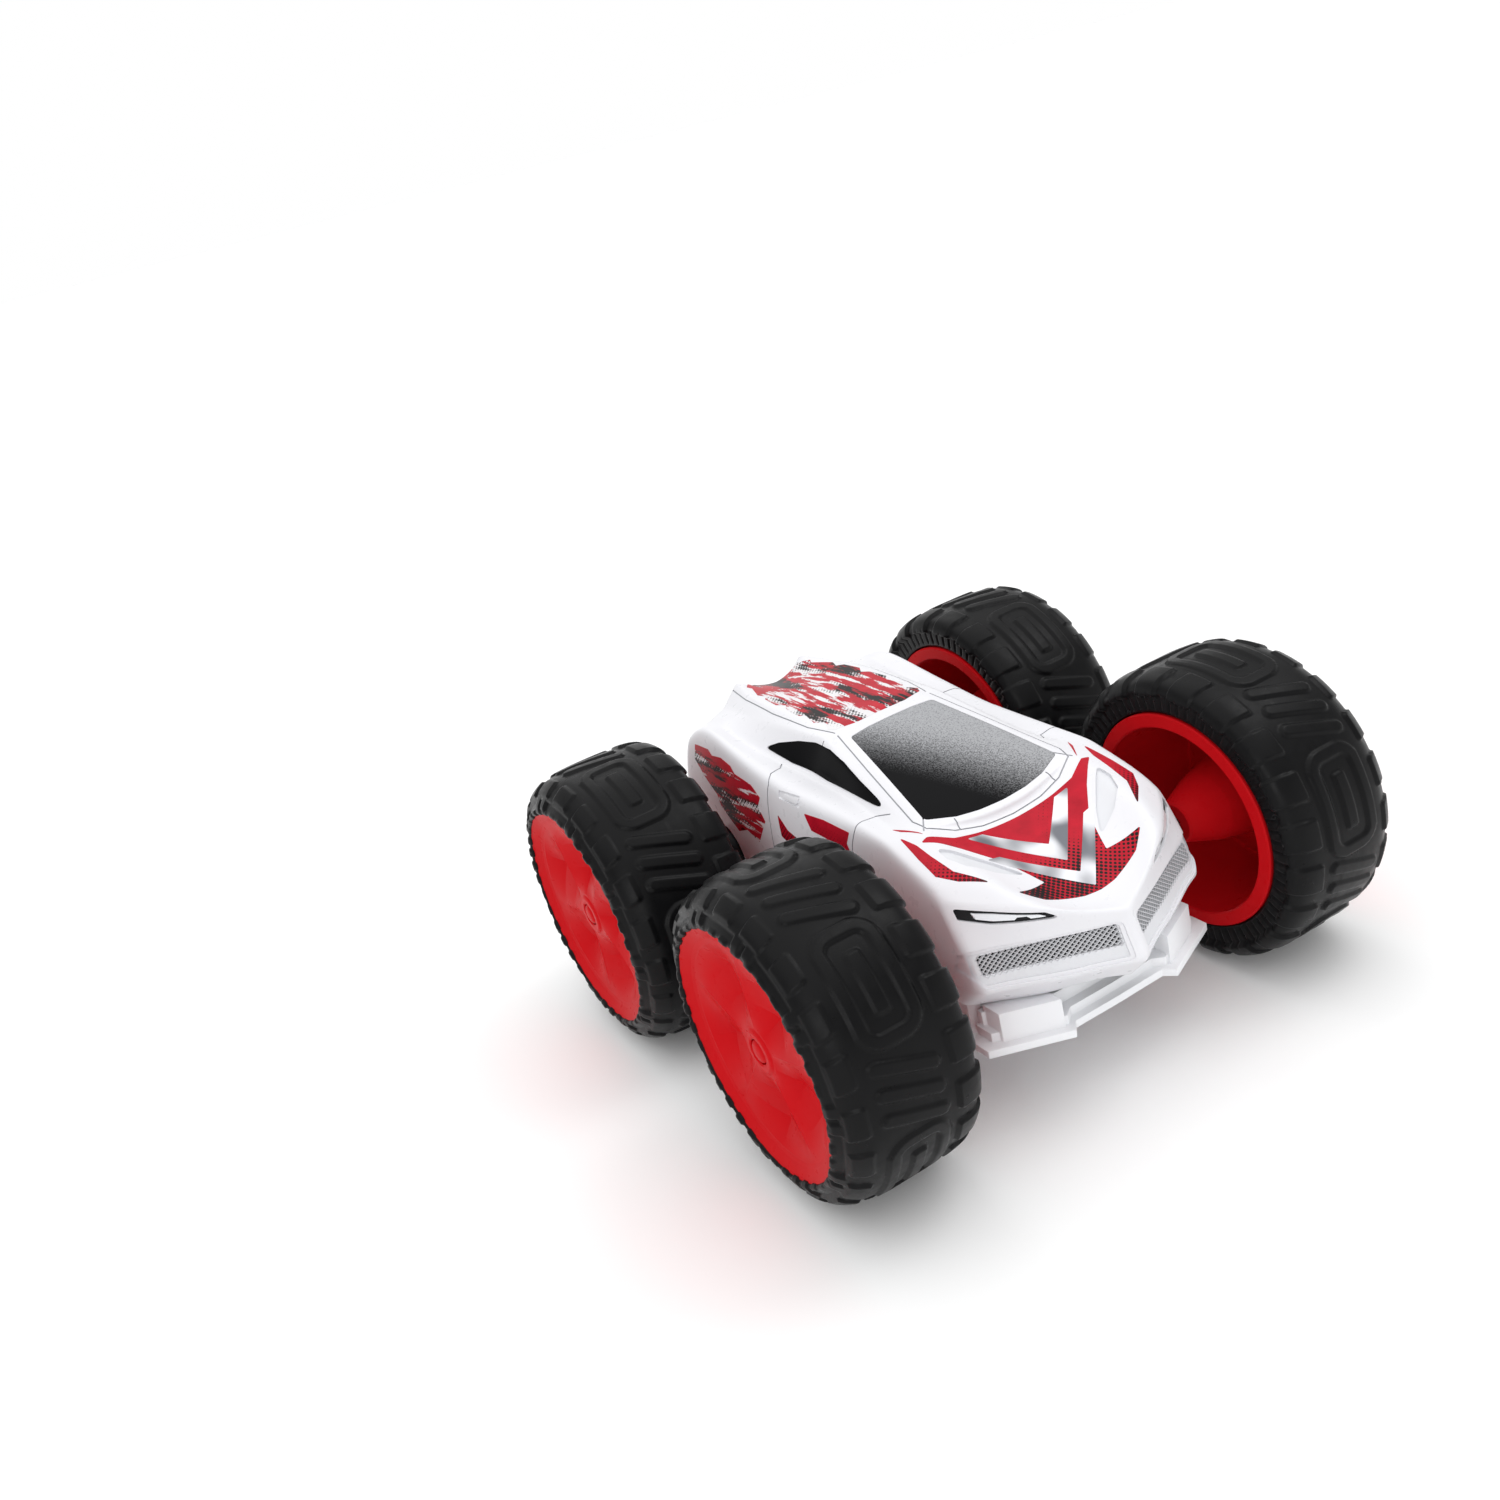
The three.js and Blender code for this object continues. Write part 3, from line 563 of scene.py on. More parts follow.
# ---- the body shell ----
# The outlines of panels and pockets. One that isn't symmetric is drawn for the car's left side.
WINDSHIELD = symmetric([(0, -45.9), (8, -45.6), (15, -44.6), (23, -41.6), (14.8, 2.6), (8, 3.5), (0, 3.7)])
REAR_WINDOW = symmetric([(0, 70), (14, 70), (10.5, 79.5), (0, 79.5)])
SIDE_WINDOW = [
    (-30, 78), (2, 77.8), (20, 78.9), (34, 80.8), (29, 82.6), (20, 84.5), (12, 85.5), (4, 85.3), (-4, 83.8),
    (-14, 81.3)]
GRILLE = [(3.4, 48), (35.8, 48.6), (35.8, 53.4), (3.4, 53.4)]
GRILLE_FRAME = [(2, 43.9), (17, 44.1), (36.2, 45), (38.9, 49), (38.4, 55.2), (31, 55.4), (15, 54.6), (2, 54.2)]
HEADLIGHT = [(15.8, 59.4), (30, 61), (36, 62.8), (36, 65.4), (29, 64), (19, 61.6)]
HEADLIGHT_LENS = [
    (18.3, 60.3), (22, 60.7), (22.8, 61.5), (24.8, 61.7), (25.4, 61.1), (29.6, 61.6), (32.7, 62.5), (33, 64),
    (29, 63.4), (20, 61.2)]
TAILLIGHT = [(19, 60), (34, 62), (34, 66), (19, 64.5)]
TAIL_PANEL = [(-16, 47.5), (16, 47.5), (14, 57), (-14, 57)]
SCOOP = [(28, -52.4), (24.4, -55.4), (17.8, -61.8), (12.4, -68.8), (20.8, -65.8), (26, -62.2), (28.2, -57)]
HANDLE = [(0.6, 74.3), (11.8, 74.5), (12, 76.7), (2, 77), (0.4, 76.2)]
LEVER = [(2, 74.9), (9.4, 75), (9.6, 76.2), (2.2, 76.4)]
# The stretches of an axis that the cuts go through.
FRONT, FRAME_FRONT, REAR, ABOVE = (-100, -56), (-100, -50), (60, 100), (60, 100)
SIDE, WINDOW_SIDE, SLOT_SIDE = (30, 45), (20.7, 29.2), (20, 45)
BOSS_SLOT = 8.5
PANEL_GAP = 0.15
PANEL_TRIM = -0.05

# Joints between the shell's parts, as points near the surface of the car's left side.
SEAMS = [
    [(27.2, -31.8, 77.6), (29.5, -27.4, 76.8), (33.7, -26.8, 76.8), (36.6, -27.4, 75.5), (38, -26.6, 71),
     (39.3, -27, 60), (39.9, -27, 49)],
    [(28.8, 23, 79.2), (30.5, 21, 78.6), (34.6, 19.7, 78.9), (37, 17.4, 77), (38.4, 18, 73), (39.2, 18.6, 62),
     (39.9, 19.5, 49)],
    [(39.9, -27, 49), (39.9, -24, 46), (39.7, 15, 46), (39.9, 19.5, 49)],
    [(22.6, -40.4, 77.4), (26, -45, 76.2)],
    [(0, -49.6, 71.4), (10, -49.2, 72), (18, -48, 74), (24.8, -44.6, 76.4), (25.8, -40, 77.2), (21, -14, 83),
     (17.8, 2.6, 87), (17, 6.4, 87.6)],
    [(16, -45, 75.4), (16.6, -48.4, 73.6)],
    [(16.8, 8, 88), (19, 20, 87.8), (19.6, 40, 87.8), (18, 60, 87.2), (15.2, 74, 86.4)],
    [(20.6, 8.4, 86.6), (24.6, 8.4, 81)],
    [(0, 80, 43), (18, 80, 43), (30, 79, 44), (36, 77, 45.5)],
    [(16, 78, 69), (15, 79, 60), (17, 79.5, 57), (33, 78.5, 57.5)],
]
SEAM_HALF = 0.2
SEAM_OVER = 0.6
SEAM_DEEP = 0.32
SEAM_STEP = 1.2


def seam_tool(path):
    """A square rod laid along the surface through the points of a path."""
    points, vertices = [], []
    for start, end in zip(path, path[1:]):
        start, end = Vector(start), Vector(end)
        count = max(1, round((end - start).length / SEAM_STEP))
        points += [start.lerp(end, k / count) for k in range(count)]
    points.append(Vector(path[-1]))
    snapped = [SKIN.find_nearest(p)[:2] for p in points]
    for i, (place, normal) in enumerate(snapped):
        ahead = snapped[min(i + 1, len(snapped) - 1)][0] - snapped[max(i - 1, 0)][0]
        across = ahead.cross(normal).normalized() * SEAM_HALF
        up, down = normal * SEAM_OVER, normal * -SEAM_DEEP
        vertices += [place + across + up, place - across + up, place - across + down, place + across + down]
    last = len(vertices) - 4
    faces = [range(4), range(last, last + 4)]
    for ring in range(0, last, 4):
        for k in range(4):
            a, b = ring + k, ring + (k + 1) % 4
            faces.append((a, b, b + 4, a + 4))
    return mesh_object("seam", vertices, faces)


def pocket_tool(outline, axis, reach, depth, finish):
    """What is cut away for a shallow pocket with its floor along the surface."""
    return boolean(paint(prism(outline, reach, axis), finish), paint(skin_solid(depth), finish))


WHITE = moulded("white_plastic", rgb(229, 229, 233), 0.3, 0, 0.015, Specular_IOR_Level=0.3)
# Painted shade: a darker grey on the walls and floors of the seams' grooves.
SEAM_PAINTED_SHADE = moulded("seam_painted_shade", rgb(178, 179, 184), 0.5)
# Painted shade: a light grey for the floors of the scoop and of the grille frame's inner step.
PAINTED_SHADE_GREY = moulded("painted_shade_grey", rgb(222, 223, 227), 0.35)
DARK = moulded("dark_plastic", rgb(22, 22, 24), 0.42, 0.02, Specular_IOR_Level=0.2)
GLOSS_BLACK = moulded("window_black", rgb(10, 10, 12), 0.14, 0.002, 0.2, Specular_IOR_Level=0.06)
LENS = moulded("lens_white", rgb(240, 243, 247), 0.08, 0.002, 0.03, Coat_Weight=0.6)
RED_LENS = moulded("lens_red", rgb(176, 14, 26), 0.12, 0.002, 0.15, Coat_Weight=0.6)
MESH_GREY = moulded("grille_grey", rgb(196, 197, 201), 0.35)


def windshield_finish():
    """Gloss black film with a painted reflection: grey speckles that thicken towards the car's left and the
    roof.
    """
    finish = Finish("windshield_film", Specular_IOR_Level=0.06)
    x, y = (finish.calc("MULTIPLY", finish.axis(letter), by) for letter, by in (("X", 0.8), ("Y", 0.45)))
    across = finish.calc("ADD", x, y)
    share = finish.span(across, -22, 4, 0, 1, smooth=True)
    reflection_speckles = finish.span(finish.noise(2.2, 2, rough=0.8), 0.36, 0.64, -0.45, 0.45)
    grain = finish.calc("MULTIPLY", reflection_speckles, finish.calc("SQRT", share))
    grey = finish.calc("ADD", share, grain, use_clamp=True)
    # The painted reflection goes into the base colour, and the roughness follows it.
    finish.set("Base Color", finish.mix(grey, rgb(9, 9, 11), rgb(168, 169, 172)))
    return finish.set("Roughness", finish.span(grey, 0, 1, 0.12, 0.42))


def grille_lattice(outline):
    """Crossing bars with diamond holes that follow the nose, for the car's left side."""
    half_x, half_z, hole = 0.74, 0.62, 0.78
    front, back = 0.75, 1.3
    inside = grown(outline, 0.35)
    low, high = np.min(inside, axis=0), np.max(inside, axis=0)
    index, vertices, faces, walls = {}, [], [], {}

    def within(x, z):
        crossed = [(z0 > z) != (z1 > z) and x < x0 + (z - z0) * (x1 - x0) / (z1 - z0)
                   for (x0, z0), (x1, z1) in pairs(inside)]
        return sum(crossed) % 2 == 1

    def corner(x, z, depth):
        key = (round(x, 3), round(z, 3), depth)
        if key not in index:
            place = SKIN.ray_cast(Vector((x, -200, z)), Vector((0, 1, 0)))[0]
            index[key] = len(vertices)
            vertices.append(place + Vector((0, depth, 0)))
        return index[key]

    for i in range(int((high[0] - low[0]) / half_x) + 2):
        for j in range(int((high[1] - low[1]) / half_z) + 2):
            x, z = low[0] + i * half_x, low[1] + j * half_z
            if (i + j) % 2 or not within(x, z):
                continue
            around = [(-half_x, 0), (0, -half_z), (half_x, 0), (0, half_z)]
            rings = [[corner(x + size * a, z + size * b, depth) for a, b in around]
                     for size, depth in ((1, front), (hole, front), (hole, back), (1, back))]
            for k in range(4):
                n = (k + 1) % 4
                faces += [(r[k], r[n], s[n], s[k]) for r, s in zip(rings, rings[1:])]
                # A wall between two neighbouring diamonds comes up twice, and goes.
                wall = (rings[0][k], rings[0][n], rings[3][n], rings[3][k])
                if not walls.pop(frozenset(wall), None):
                    walls[frozenset(wall)] = wall
    return mesh_object("lattice", vertices, faces + list(walls.values()))


def opening(outline, axis, reach, corner):
    """What is cut away to let in a panel."""
    return paint(prism(grown(rounded(outline, corner), PANEL_GAP), reach, axis), WHITE)


def build_shell():
    shell = paint(skin_solid(0), WHITE)
    boolean(shell, paint(skin_solid(SHELL_WALL, CUT_LOW), WHITE))
    pair_cuts = [opening(SIDE_WINDOW, "x", WINDOW_SIDE, 1.2), opening(GRILLE, "y", FRONT, 0.8),
                 opening(HEADLIGHT, "y", FRONT, 0.5), opening(TAILLIGHT, "y", REAR, 0.8)]
    grille_frame = rounded(GRILLE_FRAME, 1.8)
    # The grille frame's inner step and the scoop get painted shade on their floors.
    for outline, axis, reach, depth, finish in [
            (grille_frame, "y", FRAME_FRONT, 0.4, WHITE),
            (grown(grille_frame, -0.9), "y", FRAME_FRONT, 0.75, PAINTED_SHADE_GREY),
            (rounded(SCOOP, 0.9), "z", ABOVE, 0.8, PAINTED_SHADE_GREY),
            (rounded(HANDLE, 0.6), "x", SIDE, 0.45, WHITE)]:
        pair_cuts.append(pocket_tool(outline, axis, reach, depth, finish))
    # The seams' grooves take the painted shade grey.
    pair_cuts += [paint(seam_tool(path), SEAM_PAINTED_SHADE) for path in SEAMS]
    for y in (-AXLE_Y, AXLE_Y):
        turns = [math.radians(a) for a in range(0, 181, ARC_STEP)]
        arch = [(y + BOSS_SLOT * math.cos(t), AXLE_Z + BOSS_SLOT * math.sin(t)) for t in turns]
        slot = prism([(y + BOSS_SLOT, 0), *arch, (y - BOSS_SLOT, 0)], SLOT_SIDE, "x")
        pair_cuts.append(paint(slot, WHITE))
    for tool in pair_cuts:
        boolean(shell, join(tool, flipped(tool)))
    boolean(shell, pocket_tool(rounded(TAIL_PANEL, 1.5), "y", REAR, 0.6, WHITE))
    boolean(shell, opening(WINDSHIELD, "z", ABOVE, 1.5))
    boolean(shell, opening(REAR_WINDOW, "y", REAR, 1.5))
    piece(shell, "body_shell_white", "car_body", ["body_shell"], on_skin=True)


def pair_of(shape, name, node=None, on_skin=True):
    """A shape on the car's left side and its twin on the right, as pieces of the body."""
    for obj, side in ((flipped(shape), "_right"), (shape, "_left")):
        piece(obj, name + side, "car_body", [node + side] if node else (), on_skin=on_skin)


def build_panels():
    film = windshield_finish()
    for name, node, outline, axis, reach, corner, depths, finish, slot in [
            ("windshield_film", "windshield", WINDSHIELD, "z", ABOVE, 1.5, (0.1, 1.4), film, "window_black"),
            ("rear_glass", "rear_window", REAR_WINDOW, "y", REAR, 1.5, (0.2, 1.4), GLOSS_BLACK, "window_black"),
            ("side_glass", "side_window", SIDE_WINDOW, "x", WINDOW_SIDE, 1.2, (0.2, 1.4), GLOSS_BLACK,
             "window_black"),
            ("tail_lens", "taillight", TAILLIGHT, "y", REAR, 0.8, (0.3, 1.6), RED_LENS, "taillight_lens")]:
        shape = paint(patch(grown(rounded(outline, corner), PANEL_TRIM), axis, reach, *depths), finish)
        if node in frame["nodes"]:
            piece(shape, name, "car_body", [node], on_skin=True)
        else:
            pair_of(shape, name, node)
    back = paint(patch(rounded(GRILLE, 0.8), "y", FRONT, 1.45, 1.68), DARK)
    grille = join(paint(grille_lattice(GRILLE), MESH_GREY), back)
    pair_of(grille, "grille_mesh", "grille", on_skin=False)
    bezel = paint(patch(rounded(HEADLIGHT, 0.5), "y", FRONT, 0.75, 1.65), DARK)
    lens = paint(patch(rounded(HEADLIGHT_LENS, 0.25), "y", FRONT, 0.3, 0.9), LENS)
    pair_of(join(lens, bezel), "headlamp", "headlight")
    lever = paint(patch(rounded(LEVER, 0.5), "x", SIDE, 0.0, 0.8), WHITE)
    pair_of(lever, "door_handle")


# ---- printed films on the body ----
HOOD = symmetric([
    (0, -50.8), (13, -50.6), (20.4, -50.2), (27, -47.4), (29.3, -48), (21.6, -54.8), (15, -62), (12, -69),
    (10.6, -72.6), (20.8, -75), (15.4, -78.4), (5, -80.9), (0, -81.3)])
FENDER_STRIPE = [
    (32.3, -42), (30.8, -48), (30.6, -53.5), (29.8, -61.5), (24.8, -70.7), (30.9, -64.6), (34.1, -59.4),
    (33.6, -52)]
FENDER_TIP = [(31.2, -36.8), (27.3, -44.6), (26.8, -46), (30.2, -40.4)]
ROOF = [
    (0, 8.4), (9, 8), (15.5, 9.4), (16.8, 12), (14.6, 16.4), (16.6, 20), (15.2, 26.5), (16.9, 29), (16, 37),
    (14.4, 39.6), (16.2, 43), (15.4, 51), (13.6, 53.2), (14.8, 57), (11.8, 66), (12.6, 68), (9.8, 72.6),
    (0, 71.2)]
SIDE_REAR = [
    (63.7, 78.5), (54.4, 79), (52, 77.6), (46, 78.4), (39.8, 77.3), (37.4, 75.4), (27.6, 74.5), (22.6, 71.7),
    (24.6, 68.4), (21.4, 64.2), (28.2, 55.1), (35, 57.2), (41.2, 54.8), (50.8, 61), (52, 64.4), (59.5, 68.9),
    (64.9, 73.2)]
SIDE_SLASH = [(13, 69), (8, 65.4), (3, 64.4), (-3, 58), (2, 57.4), (7, 60.6), (12.4, 62.2)]
SIDE_STRIPE = [
    (-2, 73.5), (-12, 74.4), (-25, 74.4), (-24, 71), (-30, 64), (-22, 60), (-13.6, 69.5), (-5.8, 69.5)]
# How far under the body's surface films begin and end: a film stands a little proud of it.
FILM = (-0.07, 0.25)
OVER_FILM = (-0.12, 0.2)


def chevron(apex, spread, back, width):
    """A V across the middle line that points at the front."""
    return symmetric([(0, apex), (spread, back), (spread - width, back), (0, apex + width * 1.35)])


def streaks(name, pale, dark, pitch, facing=ON_TOP):
    """Worn paint: red, broken by pale and dark strokes that run along the car, and by printed dots."""
    finish = Finish(name, **PRINT_GLOSS)
    strokes = finish.noise((0.42, 0.055, 0.4), 5, rough=0.62)
    blots = finish.noise((0.16, 0.035, 0.14), 4, rough=0.6)
    scratches = finish.noise((1.3, 0.16, 1.1), 3)
    red = finish.mix(finish.noise(0.3, 4), RED, DEEP_RED)
    worn = finish.mix(finish.over(strokes, pale), red, rgb(226, 224, 226))
    inked = finish.calc("MULTIPLY", finish.over(blots, dark), finish.over(scratches, 0.42, 0.08))
    colour = finish.mix(inked, worn, INK)
    spots = halftone(finish, finish.span(blots, 0.42, 0.62), pitch, facing)
    finish.set("Base Color", finish.mix(finish.calc("MULTIPLY", spots, finish.over(strokes, 0.5)), colour, INK))
    return finish.bump(scratches, 0.01)


def dotted_print(name, axis, start, end, ink, facing=ON_TOP):
    """Red that breaks into dark dots along an axis."""
    finish = Finish(name, **PRINT_GLOSS)
    growth = finish.span(finish.axis(axis), start, end, 0.0, 0.8)
    red = finish.mix(finish.noise(0.25, 4), RED, DEEP_RED)
    finish.set("Base Color", finish.mix(halftone(finish, growth, 1.1, facing), red, ink))
    return finish.bump(finish.noise(1.6, 2), 0.006)


def film(name, outline, axis, reach, finish, depths=FILM, pair=False, corner=0.4):
    shape = paint(patch(rounded(outline, corner), axis, reach, *depths), finish)
    if pair:
        pair_of(shape, name)
    else:
        piece(shape, name, "car_body", on_skin=True)


def build_films():
    silver = silver_print()
    top = (55, 100)
    film("hood_print", HOOD, "z", top, hood_print())
    film("hood_chevron_rear", chevron(-69.5, 17.5, -51.6, 5), "z", top, silver, OVER_FILM)
    film("hood_chevron_front", chevron(-79.5, 18.5, -60.5, 4), "z", top, silver, OVER_FILM)
    red = dotted_print("fender_print", "Y", -50, -70, rgb(70, 8, 18))
    film("fender_stripe", FENDER_STRIPE, "z", top, red, pair=True)
    film("fender_tip", FENDER_TIP, "z", top, red, pair=True, corner=0.2)
    film("roof_print", symmetric(ROOF), "z", (80, 100), streaks("roof_print", 0.53, 0.55, 1.1), corner=0.3)
    worn = streaks("side_print", 0.56, 0.56, 1.2, ON_SIDE)
    dotted = dotted_print("side_stripe", "Z", 76, 58, rgb(60, 8, 16), ON_SIDE)
    for name, outline, finish in (("side_print_rear", SIDE_REAR, worn), ("side_slash", SIDE_SLASH, dotted),
                                  ("side_stripe", SIDE_STRIPE, dotted)):
        film(name, outline, "x", SIDE, finish, pair=True, corner=0.3)


# ---- wheels ----
TYRE_OUTSIDE = [
    (56.9, 31.3), (56.2, 33.4), (54.7, 33.8), (54.3, 36.4), (54.5, 39.3), (56, 41.6), (59.5, 42.8), (66, 43.2),
    (73, 43.3), (80, 43.2), (85.6, 42.6), (89.2, 41), (91.6, 38.8), (93.2, 36.9), (93.8, 35.9), (93.3, 35.2),
    (91.2, 35.45)]
TYRE_INSIDE = [(89.6, 31.3), (87.6, 31.2), (87.4, 40.2), (59.2, 40.2), (59, 31.2)]
TYRE_COLUMNS = 600
TYRE_PITCH = 0.58
TYRE_TOP = 44.95
TYRE_MIDDLE = 74.5
GROUPS = 5
SHOULDER_BLOCKS = 20
LIP_TOES = 40
SPOKE_SLITS = 72


def smooth_path(points, pitch):
    """Evenly spaced points on a smooth curve through some points, with their sideways normals."""
    points = np.array(points, float)
    ends = np.vstack([2 * points[0] - points[1], points, 2 * points[-1] - points[-2]])
    dense = []
    for a, b, c, d in zip(ends, ends[1:], ends[2:], ends[3:]):
        for t in np.linspace(0, 1, CURVE_STEPS, endpoint=False):
            dense.append(0.5 * (2 * b + (c - a) * t + (2 * a - 5 * b + 4 * c - d) * t ** 2
                                + (3 * b - a - 3 * c + d) * t ** 3))
    dense = np.array(dense + [points[-1]])
    run = np.concatenate([[0], np.cumsum(np.linalg.norm(np.diff(dense, axis=0), axis=1))])
    places = np.linspace(0, run[-1], round(run[-1] / pitch) + 1)
    path = np.column_stack([np.interp(places, run, dense[:, k]) for k in (0, 1)])
    along = np.gradient(path, axis=0)
    along /= np.linalg.norm(along, axis=1, keepdims=True)
    return path, np.column_stack([-along[:, 1], along[:, 0]])


def ramp(value, low, high):
    """0 up to one limit, 1 from the other on, and smooth between them."""
    t = np.clip((value - low) / (high - low), 0, 1)
    return t * t * (3 - 2 * t)


def stroke(u, v, start, end, half):
    """How far inside a thick line with round ends a point is."""
    (a, b), (c, d) = start, end
    length = (c - a) ** 2 + (d - b) ** 2
    t = np.clip(((u - a) * (c - a) + (v - b) * (d - b)) / length, 0, 1)
    return half - np.hypot(u - a - t * (c - a), v - b - t * (d - b))


def rounded_box(u, v, half_u, half_v, corner):
    """How far inside a rounded rectangle about the origin a point is."""
    a, b = np.abs(u) - half_u + corner, np.abs(v) - half_v + corner
    return corner - np.hypot(np.maximum(a, 0), np.maximum(b, 0)) - np.minimum(np.maximum(a, b), 0)


def repeated(turn, count, shift=0.0):
    """The place in one of some equal parts of a turn, from -0.5 to 0.5."""
    return (turn * count / (2 * math.pi) + shift) % 1 - 0.5


def arc_place(turn, count, radius, shift=0.0):
    """That place in millimetres at a radius."""
    return repeated(turn, count, shift) * 2 * math.pi * radius / count


def tread_relief(turn, x, r):
    """The height of the tyre's pattern over its smooth shape, in millimetres."""
    u, v = arc_place(turn, GROUPS, 44), x - TYRE_MIDDLE
    # The crown: a long ring with a block inside and three slanted bars, five times a turn.
    ring_u = u + 11
    ring = 1.9 - np.abs(rounded_box(ring_u, v + 0.4, 13.6, 7.4, 4.5))
    block = rounded_box(ring_u, v + 0.4, 8, 2.2, 1)
    bars = [stroke(u - place, v, (-2.6, -7.4), (2.6, 7.4), 1.9) for place in (9.4, 16.3, 23.2)]
    crown = np.maximum.reduce([ring, block, *bars])
    height = 1.65 * ramp(crown, -0.5, 0.45)
    height -= 0.7 * ramp(np.abs(x - 85.6 - 0.9 * np.sin(turn * 2 * GROUPS)), 1.6, 0.5)
    # The inner shoulder: blocks round the edge.
    p = arc_place(turn, SHOULDER_BLOCKS, 43)
    inner = rounded_box(p - 0.12 * (x - 58), x - 57.4, 4.3, 5.2, 1.2) * (x < 70)
    inner = np.where(r > 38.6, inner, -1)
    height = np.maximum(height, 1.75 * ramp(inner, -0.35, 0.35))
    # The outer shoulder: a scalloped edge whose blocks run down the side.
    q = arc_place(turn, SHOULDER_BLOCKS, 43, 0.5)
    outer = rounded_box(q + 0.2 * (x - 88), x - 89.6, 4.5, 3.4, 1.4) * (x > 80)
    outer = np.where(r > 39.6, outer, -1)
    height = np.maximum(height, 1.6 * ramp(outer, -0.5, 0.5))
    # The outer side: thin curved slits in pairs, and square blocks between them.
    side = (x > 88) & (r < 42.6)
    s = arc_place(turn, GROUPS * 2, 39, 0.25)
    bend = 0.05 * (r - 36.5) ** 2
    for place in (-8.4, -5.2, -2.4, 0.4):
        slit = stroke(s - bend, r, (place, 37), (place + 1.2, 42), 0.3)
        height = np.where(side, height - 0.95 * ramp(slit, -0.25, 0.2) * (height < 0.4), height)
    for place in (4.6, 9.6):
        block = rounded_box(s - place - 0.3 * bend, r - 38.9, 1.7, 2.3, 0.5)
        height = np.where(side, np.maximum(height, 0.85 * ramp(block, -0.35, 0.3)), height)
    # The lip: small toes over the rim's edge.
    toes = ramp(np.abs(repeated(turn, LIP_TOES)), 0.36, 0.2) * (0.65 + 0.35 * np.sin(turn * 7))
    height = height + np.where((x > 92) & (r < 36.6), 0.6 * toes, 0)
    # The inner side: thin slits like spokes.
    inside = (x < 58) & (r < 39.4)
    w = arc_place(turn, SPOKE_SLITS, 37)
    height = np.where(inside & (r > 34.6), height - 0.4 * ramp(0.28 - np.abs(w), -0.2, 0.15), height)
    return height


def all_round(points, columns):
    """The same points of a section at every turn."""
    return np.repeat(np.array(points, float)[:, None, :], columns, axis=1)


def revolved(name, *parts):
    """A closed section round the X axis. Its parts give each point's x and radius at every turn."""
    path = np.concatenate(parts)
    rows, columns = path.shape[:2]
    turns = np.linspace(0, 2 * math.pi, columns, endpoint=False)
    x, r = path[..., 0], path[..., 1]
    vertices = np.stack([x, r * np.cos(turns), AXLE_Z + r * np.sin(turns)], axis=-1).reshape(-1, 3)
    faces = []
    for i in range(rows):
        here, there = i * columns, (i + 1) % rows * columns
        for j in range(columns):
            k = (j + 1) % columns
            faces.append((here + j, here + k, there + k, there + j))
    return mesh_object(name, vertices, faces)


def tyre_shape():
    path, normals = smooth_path(TYRE_OUTSIDE, TYRE_PITCH)
    turns = np.linspace(0, 2 * math.pi, TYRE_COLUMNS, endpoint=False)
    height = tread_relief(turns[None, :], path[:, :1], path[:, 1:])
    moved = path[:, None, :] + height[..., None] * normals[:, None, :]
    moved[..., 1] = np.minimum(moved[..., 1], TYRE_TOP)
    return revolved("tyre", moved, all_round(TYRE_INSIDE, TYRE_COLUMNS))


RIM_FACETS = 5
RIM_COLUMNS = 120
RIM_DISH_ROWS = 21
# The star's depth, and where along the dish its full depth begins and how soon it ends before the lip.
STAR_DEEP, STAR_RISE, STAR_FALL = 4.2, 0.35, 0.3
RIM_BARREL = [
    (90.8, 35.05), (90, 30.9), (89.6, 30.7), (56.9, 30.7), (56.5, 30.9), (56.1, 32.8), (55.7, 33.3),
    (54.4, 33.3), (54, 32.9), (54, 29.4), (54.4, 29), (85.4, 27.6), (86, 27.3), (86.1, 26.7), (81.5, 15.2),
    (80.7, 14.4), (64.4, 10.6), (63.6, 10.3), (53, 6.3), (52.4, 5.7), (52.4, 2.2), (52.8, 1.9), (89.3, 1.9),
    (89.3, 3.5), (91, 3.6), (91.3, 4), (91.3, 5.4), (91.1, 6), (90.7, 6.6)]
RIM_DISH = [(90.6, 7.2), (91.1, 30)]
RIM_LIP = [(91.2, 30.6), (91.6, 31.8), (93, 34.6), (93.2, 35.1), (92.6, 35.3)]


def rim_shape():
    """A rim whose dish is folded into a star of flat facets."""
    turns = np.linspace(0, 2 * math.pi, RIM_COLUMNS, endpoint=False)
    fold = 1 - 2 * np.abs(repeated(turns, RIM_FACETS))
    dish = all_round(np.linspace(RIM_DISH[0], RIM_DISH[1], RIM_DISH_ROWS), RIM_COLUMNS)
    share = np.linspace(0, 1, RIM_DISH_ROWS)[:, None]
    dish[..., 0] -= STAR_DEEP * fold * np.clip(np.minimum(share / STAR_RISE, (1 - share) / STAR_FALL), 0, 1)
    return revolved("rim", all_round(RIM_BARREL, RIM_COLUMNS), dish, all_round(RIM_LIP, RIM_COLUMNS))


CAP = [
    (86, 1.5), (86.2, 1.8), (89.5, 1.8), (89.6, 3.1), (90.8, 3.2), (91.2, 2.9), (91.5, 2.1), (91.65, 1.1),
    (91.7, 0.01), (86, 0.01)]
CAP_COLUMNS = 48


def rubber():
    finish = Finish("tyre_rubber", Specular_IOR_Level=0.12)
    tone = finish.noise(0.05, 4)
    finish.set("Base Color", finish.mix(tone, rgb(9, 9, 10), rgb(17, 17, 18)))
    finish.set("Roughness", finish.span(finish.noise(0.4, 4), 0.3, 0.7, 0.27, 0.4))
    return finish.bump(finish.noise(3, 4), 0.02)


def metal(name, colour, roughness):
    finish = Finish(name, Metallic=1.0)
    dull = tuple(0.8 * c for c in colour[:3]) + (1,)
    finish.set("Base Color", finish.mix(finish.noise(0.5, 3), colour, dull))
    brushed = finish.noise((0.2, 5, 5), 3)
    finish.set("Roughness", finish.span(brushed, 0.3, 0.7, roughness * 0.8, roughness * 1.25))
    return finish.bump(finish.noise(3, 2), 0.006)


